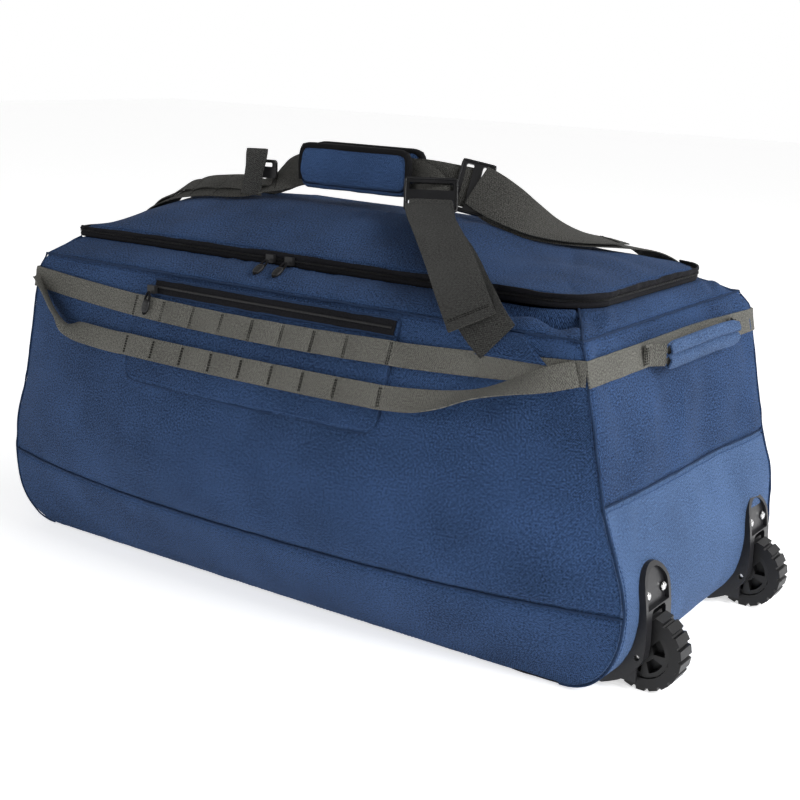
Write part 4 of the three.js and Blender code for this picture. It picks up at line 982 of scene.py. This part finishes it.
stops = [
    front_stop(-366, 322, 3, (-0.2, 0.5, 0.8), 15),
    front_stop(-357, 313, 7, (-0.45, 0.8, 0.1), 18),
    front_stop(-340, 299, 10, (-0.5, 0.8, -0.25), 23),
    front_stop(-318, 283, 12, (-0.5, 0.8, -0.25)),
    front_stop(-299, 273, 12, (-0.5, 0.8, -0.1)),
    front_stop(-283, 269, 11, (-0.2, 0.8, 0.5)),
    front_stop(-262, 267, 9, (0.0, 0.6, 0.9)),
    front_stop(-216, 266, 6, (0, 0.4, 0.9)),
]
for a, b in zip(STITCH_COLUMNS, STITCH_COLUMNS[1:]):
    for t in (0.0, 0.12, 0.35, 0.65, 0.88):
        xx = a + (b - a) * t
        lift = 2.8 * math.sin(math.pi * t) ** 0.6 if t else 0.0
        stops.append(front_stop(xx, LOWER_ROW_Z, over_pocket(xx) + 0.8 + lift, (0, 0.38, 1)))
stops += [
    front_stop(166, LOWER_ROW_Z, over_pocket(166) + 0.8, (0, 0.38, 1)),
    front_stop(200, 269, 7, (0, 0.5, 0.9)),
    front_stop(236, 275, 12, (-0.1, 0.9, 0.6)),
    front_stop(272, 286, 16, (-0.2, 1, 0.2)),
    front_stop(308, 299, 17, (-0.2, 0.9, 0.5)),
    front_stop(340, 311, 12, (-0.2, 0.4, 0.9)),
    front_stop(364, 319, 4.4, (-0.3, 0.1, 1)),
]
_, lower_row = ribbon("webbing_lower", stops, WEB_THICK, WEBBING_CLOTH, "bag", node="webbing_lower_row")
for column in STITCH_COLUMNS:
    where = int(np.argmin(np.abs(lower_row[0][:, 0] - column)))
    tack(web_thread, *lower_row, at=lower_row[4][where], lift=1.1, rows=2, both=True)

z = BELT_Z + across * HALF_WEB
y = np.linspace(-HALF_WIDTH - 1.5, HALF_WIDTH + 1.5, 130)[:, None]
for end, label in ((1, "wheel"), (-1, "far")):
    out = half_length(z) + end_bulge(y, z) + 2.3 + 0.5 * noise(y / 22, across, end * 3.0, 13)
    p = points_of(end * out, y, z)
    node = "webbing_belt" if end == 1 else None
    sheet(f"belt_{label}_end", p, (end, 0, 0), WEB_THICK, WEBBING_CLOTH, "bag", node=node)
x = np.linspace(-HALF_TOP - 8, HALF_TOP + 8, 260)[:, None]
limit = half_length(z) + 1.5
back_belt = face_point(1, np.clip(x, -limit, limit), z, 2.3 + 0.5 * noise(x / 24, across, 2, 17))
sheet("belt_back", back_belt, (0, 1, 0), WEB_THICK, WEBBING_CLOTH, "bag")

# ---- End handles ----
belt_x = float(half_length(BELT_Z))
HANDLE_Y = 25.0
HANDLE_REACH = 22.0  # how far a handle stands off the belt
for end, label, body in ((1, "haul_handle", "haul_handle"), (-1, "far_handle", "far_handle")):
    stops = []
    half = ((108, 6.6), (100, 7.2), (90, 15), (80, 21), (40, HANDLE_REACH))
    for y, off in [(-y, off) for y, off in half] + list(half[::-1]):
        stops.append((end * (belt_x + off), HANDLE_Y + y, BELT_Z, 0, 0, 1, 23.0))
    ribbon(f"{label}_web", stops, WEB_THICK, WEBBING_CLOTH, body, node=f"{label}_webbing")
    # The padded sleeve is folded into two rolls, one over the other, with an open slit above.
    ys = HANDLE_Y + np.linspace(-86, 86, 90)
    profile = []
    for a in np.linspace(0.62 * math.pi, 2.38 * math.pi, 34):
        half_w = 5.6 + 0.5 * math.cos(2 * a)
        profile.append((half_w * math.cos(a), -1 + 15.2 * math.sin(a)))
    profile = np.array(profile)
    squeeze = 1 - 0.14 * np.exp(-((np.abs(ys - HANDLE_Y) - 86) / 6) ** 2)
    crease = 0.6 * noise(ys[:, None] / 9, np.arange(34)[None] / 9, end * 2, 19)
    groove = 4.6 * np.exp(-((profile[:, 1] + 1) / 2.2) ** 2)
    grooved = profile[:, 0] - np.sign(profile[:, 0]) * groove
    px = (belt_x + HANDLE_REACH) + grooved[None] * squeeze[:, None] + crease
    pz = BELT_Z + profile[:, 1][None] * squeeze[:, None] + 0.5 * crease
    grid = points_of(end * px, ys[:, None], pz)
    centre = np.array([end * (belt_x + HANDLE_REACH), 0, BELT_Z])
    outward = grid - centre
    outward[..., 1] = 0
    sleeve = sheet(f"{label}_pad", grid, outward, 2.0, LIT_SLEEVE_CLOTH, body, node=f"{label}_sleeve")
    for y in (-104, 104):
        for step in (-4, 0, 4):
            zs = np.linspace(-9.5, 9.5, 14)
            pts = points_of(end * (belt_x + 8), HANDLE_Y + y + step, BELT_Z + zs)
            web_thread.row(pts, length=2.0, gap=0.6)


# ---- Straps on the lid ----
def strap_stops(ridge_y, grip_y):
    stops = []
    for x in (-338, -322, -300, -270, -230, -196):
        slope = float(lid_top(x, ridge_y + 20) - lid_top(x, ridge_y - 20)) / 40
        turned = (0.42 if ridge_y < 0 else 0.2) * float(smooth_step(x, -335, -270))
        lift = 4.0 + 22 * turned if x > -335 else 2.0
        stops.append((x, ridge_y, float(lid_top(x, ridge_y)) + lift, 0, 1, slope + turned, 50.0))
    stops += [
        (-165, ridge_y * 0.72 + grip_y * 0.28, 436, 0, 0.95, 0.35, 48.0),
        (-138, ridge_y * 0.35 + grip_y * 0.65, 449, 0, 0.7, 0.75, 43.0),
        (-112, grip_y, 461, 0, 0.25, 1, 39.0),
        (-70, grip_y, 467, 0, 0, 1, 38.0),
        (-28, grip_y, 467, 0, 0, 1, 38.0),
        (40, grip_y, 466, 0, 0, 1, 38.0),
    ]
    return stops


for label, ridge_y, grip_y, tail in (
    ("front", -34.0, -15.0, [
        (60, -18, 463, 0.25, 0.15, 0.95, 40.0), (80, -32, 457, 0.75, 0.45, 0.45, 44.0),
        (90, -42, 451, 0.83, 0.56, 0.1, 46.0),
    ]),
    ("rear", 26.0, -7.0, [
        (62, -6, 465, 0, 0.1, 1, 40.0), (92, -2, 460, 0.08, 0.33, 0.94, 45.0), (111, 4, 457, 0.05, 0.33, 0.94, 46.0),
    ]),
):
    stops = strap_stops(ridge_y, grip_y) + tail
    _, line = ribbon(
        f"shoulder_strap_{label}_web", stops, 2.0, SHOULDER_CLOTH, "lid", node=f"shoulder_strap_{label}"
    )
    # A narrower webbing is tacked along it as a ladder of loops.
    centre, across_dir, normal, width, arc = line
    # The side facing up where the strap lies on the lid.
    up = 1.0 if normal[8, 2] > 0 else -1.0
    columns = np.arange(8, 230, 40.0)
    keep = arc < columns[-1] + 1
    idx = np.where((arc > 2) & keep)[0][::3]
    ladder_stops = [(*(centre[i] + up * normal[i] * 2.0), *across_dir[i], 25.0) for i in idx]
    ribbon(
        f"strap_ladder_{label}", ladder_stops, 1.6, SHOULDER_CLOTH, "lid",
        puff=lambda c, s, k=up: k * loops(s + 2, list(columns), 3.0),
    )
    for column in columns:
        tack(lid_web_thread, *line, at=column, lift=up * 3.1, rows=2, inset=12.5)
        tack(lid_web_thread, *line, at=column, lift=up * 1.2, rows=1, inset=2.5)


# ---- Carry handle wrap ----
WRAP_LOW_X, WRAP_HIGH_X = -103, 47
WRAP_RINGS, WRAP_PITCH = 62, 2.2  # rings along the wrap, and millimetres between points round it


def rolled_pad(name, profile, body, seed, node):
    """A padded piece from a closed profile in Y and Z, with soft ends."""
    loop = resample(np.column_stack([profile, np.zeros(len(profile))]), WRAP_PITCH)[:, :2]
    if np.allclose(loop[0], loop[-1]):
        loop = loop[:-1]
    centre = loop.mean(axis=0)
    xs = np.linspace(WRAP_LOW_X, WRAP_HIGH_X, WRAP_RINGS)
    near_end = np.minimum(xs - WRAP_LOW_X, WRAP_HIGH_X - xs)
    size = 1 - 0.10 * np.exp(-((near_end / 5.0) ** 2))
    count = len(loop)
    puff = 0.6 * noise(xs[:, None] / 17, np.arange(count)[None] / 6, seed, seed)
    yz = centre + (loop - centre)[None] * size[:, None, None]
    away = unit(loop - centre)
    yz = yz + away[None] * puff[..., None]
    left = np.clip((10 - near_end) / 10, 0, 1)
    squash = 1 - (1 - np.sqrt(1 - left**2 * 0.98)) * 0.42
    yz[..., 1] = centre[1] + (yz[..., 1] - centre[1]) * squash[:, None]
    grid = points_of(xs[:, None], yz[..., 0], yz[..., 1])
    uv = np.stack(np.meshgrid(xs, np.arange(count) * WRAP_PITCH, indexing="ij"), -1)
    index, faces = ring_faces(WRAP_RINGS, count)
    faces = np.roll(faces, -1, 1).tolist() + [index[0, ::-1], index[-1]]
    made = make_object(name, grid.reshape(-1, 3), faces, WRAP_CLOTH, body, uvs=uv.reshape(-1, 2), node=node)


rear_profile = [
    (-29, 442), (-12, 441), (3, 442), (8, 447), (9, 460), (8.5, 476), (6, 487), (2, 490.5), (-2, 487),
    (-2.5, 470), (-3, 452), (-5, 447.5), (-14, 446.6), (-29, 446.2), (-31, 444.5), (-29, 442),
]
rolled_pad("handle_wrap_back_pad", rear_profile, "lid", 3, "handle_wrap_rear")
front_profile = [
    (-30.5, 447.5), (-25, 446.9), (-20.5, 450), (-19.5, 468), (-20, 486), (-24, 490.5),
    (-29, 488), (-31.5, 470),
    (-31.5, 455), (-30.5, 447.5),
]
rolled_pad("handle_wrap_front_pad", front_profile, "handle_wrap_flap", 4, "handle_wrap_front")


def binding(name, y, side_y, foot_z, body):
    """Black tape folded over the upper edge of the wrap."""
    left = [(-103, foot_z), (-104, 470), (-102, 486), (-95, 490), (-60, 490.5)]
    right = [(-28, 490.5), (20, 490.5), (40, 490), (47, 485), (48, 470), (47, foot_z)]
    points = [(x, side_y if z < 485 and not (x == 47 and z > 480) else y, z) for x, z in left + right]
    tube(name, resample(points, 3.0), 4.3, BLACK_BINDING, body, sides=12, flat=1.25)


binding("wrap_front_binding", -25, -26, 451, "handle_wrap_flap")
binding("wrap_back_binding", 4, 4, 446, "lid")

# ---- Lower webbings and tails ----
FACING = (0.83, 0.56, 0.0)
ANCHOR_X = 281.0
TAB_LOW, TAB_HIGH = 322, 348
lower_front = [
    (93, -46, 447, *FACING, 47), (101, -56, 437, *FACING, 50), (120, -80, 427, *FACING, 50),
    (150, -110, 415, 0.8, 0.57, 0.1, 50), (190, -146, 398, 0.78, 0.5, 0.3, 50),
    (232, -182, 374, 0.74, 0.4, 0.45, 50),
    (262, -202, 354, 0.74, 0.2, 0.6, 50), (ANCHOR_X, -206, 338, 0.74, 0.1, 0.66, 50),
]
lower_rear = [
    (121, 8, 455, 0, 0.3, 0.95, 48), (134, 12, 447, 0, 0.35, 0.92, 50), (152, 19, 436, -0.05, 0.5, 0.85, 50),
    (176, 31, 423, -0.15, 0.75, 0.6, 50), (200, 50, 412, -0.35, 0.85, 0.3, 50),
    (224, 76, 403, -0.6, 0.75, 0.1, 50),
    (248, 108, 397, -0.8, 0.55, 0, 50), (266, 140, 391, -0.95, 0.3, 0, 50), (276, 172, 376, -1, 0.1, 0, 50),
    (ANCHOR_X, 198, 356, -1, 0, 0, 50), (ANCHOR_X, 206, 338, -1, 0, 0, 50),
]
tail_front = [
    (94, -54, 441, *FACING, 50), (116, -82, 434, *FACING, 50), (150, -116, 421, 0.8, 0.57, 0.1, 50),
    (190, -155, 402, 0.78, 0.55, 0.25, 50), (226, -190, 380, 0.74, 0.5, 0.4, 50),
    (256, -213, 354, 0.7, 0.55, 0.45, 50),
]
tail_rear = [
    (121, 4, 461, 0, 0.3, 0.95, 48), (136, 8, 453, 0, 0.35, 0.92, 50), (156, 15, 442, -0.05, 0.5, 0.85, 50),
    (180, 28, 428, -0.15, 0.75, 0.6, 50), (204, 48, 416, -0.35, 0.85, 0.3, 50),
    (228, 76, 407, -0.6, 0.75, 0.1, 50),
    (251, 108, 402, -0.8, 0.55, 0, 50),
]


for label, lower_stops, tail_stops in (("front", lower_front, tail_front), ("rear", lower_rear, tail_rear)):
    # The front one takes the darker strap cloth, whose extra darkness is painted shade.
    cloth = STRAP_CLOTH if label == "front" else SHOULDER_CLOTH
    piece, line = ribbon(f"lower_webbing_{label}_web", lower_stops, WEB_THICK, cloth, None, node=f"lower_webbing_{label}")
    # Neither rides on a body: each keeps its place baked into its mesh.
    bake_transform(piece)
    _, line = ribbon(f"strap_tail_{label}_web", tail_stops, WEB_THICK, cloth, "lid", node=f"strap_tail_{label}")
    tack(lid_web_thread, *line, at=line[4][-1] - 12, lift=1.2, rows=2, inset=2.5, both=True)
    side = -1 if label == "front" else 1
    u = np.linspace(-1, 1, 26)[:, None]
    w = np.linspace(0, 1, 12)[None]
    tx = ANCHOR_X + 14 + u * (38 - 30 * w)
    tz = TAB_LOW + (TAB_HIGH - TAB_LOW) * w
    tab = face_point(side, tx, tz, 3.4 + 0.4 * noise(tx / 12, tz / 9, 2, 29))
    sheet(f"anchor_tab_{label}_cloth", tab, (0, side, 0), WEB_THICK, TAB_CLOTH, "bag", node=f"anchor_tab_{label}")
    sew(front_thread, tab, (0, side, 0), (1, 3), (0, 3), (0, -3))

# ---- Sternum strap ----
STERNUM_X = -176.0
sternum = []
for height, behind in (
    (429, 0), (445, 0), (462, 0.5), (476, 1), (482, 3.5), (483, 7.5), (478, 10), (468, 11), (458, 11),
):
    lean = (height - 429) * 0.16
    wide = 25 - 4 * float(hump(height, 455, 14))
    sternum.append((STERNUM_X + 15 + lean - 0.56 * behind, -53 + 0.83 * behind, height, *FACING, wide))
ribbon("sternum_web", sternum, WEB_THICK, STRAP_CLOTH, "sternum_loop", node="sternum_strap")

# ---- Zip pullers: a loop of cord with a moulded grip ----
def pebble(name, centre, size, material, body, power=2.8, turn=None, **more):
    """A rounded block."""
    rings = []
    for latitude in np.linspace(-math.pi / 2, math.pi / 2, 15):
        row = []
        for angle in np.linspace(0, 2 * math.pi, 28, endpoint=False):
            level = math.cos(latitude)
            v = np.array([level * math.cos(angle), level * math.sin(angle), math.sin(latitude)])
            v = v / (np.sum(np.abs(v) ** power) ** (1 / power))
            row.append(v * np.array(size) / 2)
        rings.append(row)
    rings = np.array(rings)[1:-1]
    if turn is not None:
        rings = rings @ np.array(turn, float)
    return ring_object(name, rings + centre, material, body, **more)


for node, body in (
    ("lid_puller_left", "puller_left"), ("lid_puller_right", "puller_right"),
    ("pocket_puller", "puller_pocket"),
):
    low, high = cad_box(node)
    # It hangs from its upper back corner to its lower front one.
    top = np.array([(low[0] + high[0]) / 2, high[1] - 1.5, high[2] - 1.0])
    bottom = np.array([(low[0] + high[0]) / 2, low[1] + 1.5, low[2] + 1.0])
    down, side = unit(bottom - top), np.array([1.0, 0, 0])
    reach = float(np.linalg.norm(bottom - top))
    out = np.cross(down, side)
    if out[1] > 0:
        out = -out
    turn = np.linspace(0, 2 * math.pi, 30, endpoint=False)[:, None]
    loop = (top + bottom) / 2 + side * 3.4 * np.sin(turn) - down * (reach / 2 - 0.6) * np.cos(turn)
    tube(f"{node}_cord", loop, 1.4, BLACK_BINDING, body, closed=True, slot="black_plastic", node=node)
    grip = top + down * 0.64 * reach
    frame_of = np.array([side, out, down])
    pebble(f"{node}_grip", grip, (10.5, 5.0, 0.6 * reach), BLACK_PLASTIC, body, turn=frame_of)
    for k in range(3):
        rib = grip + out * 2.1 + down * (k - 1) * 3.6
        pebble(f"{node}_rib_{k}", rib, (7.0, 1.7, 1.4), BLACK_PLASTIC, body, turn=frame_of)

# ---- Hard parts that keep their CAD shape ----
HARD = [
    (BOARD_PLASTIC, 0.6, "skid_rail_front", "skid_rail_rear"), (BOARD_PLASTIC, 0.5, "base_board"),
    (BOARD_PLASTIC, 0.3, "wheel_end_stiffener"),
    (HOUSING_PLASTIC, 0.9, "wheel_housing_front", "wheel_housing_rear"),
    (BLACK_PLASTIC, 0.8, "wheel_hub_front", "wheel_hub_rear"), (TYRE_RUBBER, 0.7, "tyre_front", "tyre_rear"),
    (BLACK_PLASTIC, 1.2, "lid_slider_left", "lid_slider_right", "pocket_slider"),
    (GLOSS_PLASTIC, 1.3, "adjuster_front", "adjuster_rear"), (GLOSS_PLASTIC, 1.0, "sternum_buckle"),
    (RIVET_STEEL, 0.25, "housing_backplate_front", "housing_backplate_rear"),
    (RIVET_STEEL, 0.2, "axle_front", "axle_rear"),
]
for material, radius, *names in HARD:
    for node in (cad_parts[name] for name in names):
        if not node.material_slots:
            node.data.materials.append(material)
        for slot in node.material_slots:
            slot.link = "OBJECT"
            slot.material = material
        bevel = node.modifiers.new("rounding", "BEVEL")
        bevel.width = radius / 1000
        bevel.segments = 2
        bevel.limit_method = "ANGLE"
        bevel.angle_limit = math.radians(32)
        bevel.harden_normals = False

# Raised almond mouldings on the lower bar of each adjuster, and a rounded rim.
for label, centre, long_way, facing_way, lower in (
    ("front", (92, -44, 450), FACING, (0.5, -0.74, 0.45), (0, 0, -1)),
    ("rear", (116, 6, 457), (0.05, 0.33, 0.94), (0.45, -0.86, 0.25), (1, 0, 0)),
):
    centre, along = np.array(centre, float), unit(long_way)
    out = unit(np.array(facing_way) - along * np.dot(facing_way, along))
    over = np.cross(out, along)
    over = over * np.sign(np.dot(over, lower))
    for k in (-1, 0, 1):
        pebble(
            f"adjuster_{label}_boss_{k + 1}", centre + along * k * 15 + over * 16.6 + out * 2.4, (12, 4.6, 2.6),
            GLOSS_PLASTIC, "lid", power=2.2, turn=[along, over, out],
        )
    # An ellipse cut off square at the frame's sides makes a rectangle with rounded corners.
    turn = np.linspace(0, 2 * math.pi, 50)[:-1, None]
    rim = along * np.clip(39.933 * np.cos(turn), -28.6, 28.6)
    rim = rim + over * np.clip(25.65 * np.sin(turn), -18.6, 18.6)
    tube(f"adjuster_{label}_rim", centre + rim + out * 2.3, 1.5, GLOSS_PLASTIC, "lid", closed=True)

# A dark disc across each hub's middle closes its holes: painted shade for the hub's shaded centre.
for label, side in (("front", -1), ("rear", 1)):
    low, high = cad_box(f"wheel_hub_{label}")
    centre = (low + high) / 2
    radius = (high[0] - low[0]) / 2
    pebble(
        f"hub_shade_disc_{label}", centre, (2 * radius - 3, 2 * radius - 3, 5.0), TYRE_RUBBER, f"wheel_{label}", power=2.0,
        turn=[(1, 0, 0), (0, 0, 1), (0, 1, 0)],
    )

# ---- All the stitching ----
front_thread.make("seam_stitches", 0.42, BLUE_THREAD, "bag")
pad_thread.make("pad_stitches", 0.5, BLUE_THREAD, "bag", slot="pad_fabric")
web_thread.make("webbing_stitches", 0.55, GREY_THREAD, "bag")
lid_thread.make("lid_stitches", 0.42, BLUE_THREAD, "lid")
lid_web_thread.make("strap_stitches", 0.45, GREY_THREAD, "lid")

# ---- Floor, light and camera ----
floor_material, _, floor_shader = new_material("studio_floor")
floor_shader.inputs["Base Color"].default_value = (0.93, 0.93, 0.93, 1)
floor_shader.inputs["Roughness"].default_value = 0.9
floor_shader.inputs["Emission Color"].default_value = (1, 1, 1, 1)
floor_shader.inputs["Emission Strength"].default_value = 0.6
floor_mesh = bpy.data.meshes.new("studio_floor")
floor_mesh.from_pydata([(-9, -9, 0), (9, -9, 0), (9, 9, 0), (-9, 9, 0)], [], [(0, 1, 2, 3)])
floor_mesh.materials.append(floor_material)
add_object("studio_floor", floor_mesh)

world = bpy.data.worlds.new("studio")
world.use_nodes = True
# The studio is white round the horizon and dimmer overhead.
sky = world.node_tree
sky_split = add_node(sky, "ShaderNodeSeparateXYZ")
sky.links.new(add_node(sky, "ShaderNodeTexCoord").outputs["Generated"], sky_split.inputs[0])
sky_colour = colour_ramp(sky, sky_split.outputs[2], (1, 1, 1), (0.22, 0.22, 0.22), 0.2, 0.65)
sky_mix = add_node(sky, "ShaderNodeMix", data_type="RGBA")
sky.links.new(add_node(sky, "ShaderNodeLightPath").outputs["Is Camera Ray"], sky_mix.inputs["Factor"])
sky.links.new(sky_colour, sky_mix.inputs[6])
sky_mix.inputs[7].default_value = (1, 1, 1, 1)
sky.links.new(sky_mix.outputs[2], sky.nodes["Background"].inputs[0])
sky.nodes["Background"].inputs[1].default_value = 1.0
bpy.context.scene.world = world
bpy.context.scene.view_settings.view_transform = "Standard"


def frame_matrix(right, up, back, place):
    return Matrix([[right[k], up[k], back[k], place[k]] for k in range(3)] + [[0, 0, 0, 1]])


def area_light(name, place, target, size, power):
    light = bpy.data.lights.new(name, "AREA")
    light.shape = "RECTANGLE"
    light.size, light.size_y = size
    light.energy = power
    back = unit(np.array(place) - np.array(target))
    right = unit(np.cross((0, 0, 1), back))
    add_object(name, light).matrix_world = frame_matrix(right, np.cross(back, right), back, place)


area_light("key", (2.5, -0.1, 1.7), (0.1, 0, 0.2), (1.1, 1.1), 56)
area_light("fill", (-1.6, -2.2, 1.3), (0, 0, 0.2), (1.8, 1.4), 8)
area_light("rim", (1.1, 1.5, 2.2), (0.1, 0, 0.35), (1.6, 0.9), 16)

AZIMUTH, ELEVATION, ROLL = (math.radians(a) for a in (34.2, 14.56, 2.12))
level = math.cos(ELEVATION)
back = np.array([math.sin(AZIMUTH) * level, -math.cos(AZIMUTH) * level, math.sin(ELEVATION)])
right = np.array([math.cos(AZIMUTH), math.sin(AZIMUTH), 0.0])
up = np.cross(back, right)
turned_right = math.cos(ROLL) * right + math.sin(ROLL) * up
turned_up = -math.sin(ROLL) * right + math.cos(ROLL) * up
place = (0.92601 - MID_X / 1000, -1.31705, 0.6101)
camera_data = bpy.data.cameras.new("camera")
camera_data.sensor_width = 36
camera_data.lens = 61.58
camera_data.clip_end = 60
camera = add_object("camera", camera_data)
camera.matrix_world = frame_matrix(turned_right, turned_up, back, place)
bpy.context.scene.camera = camera
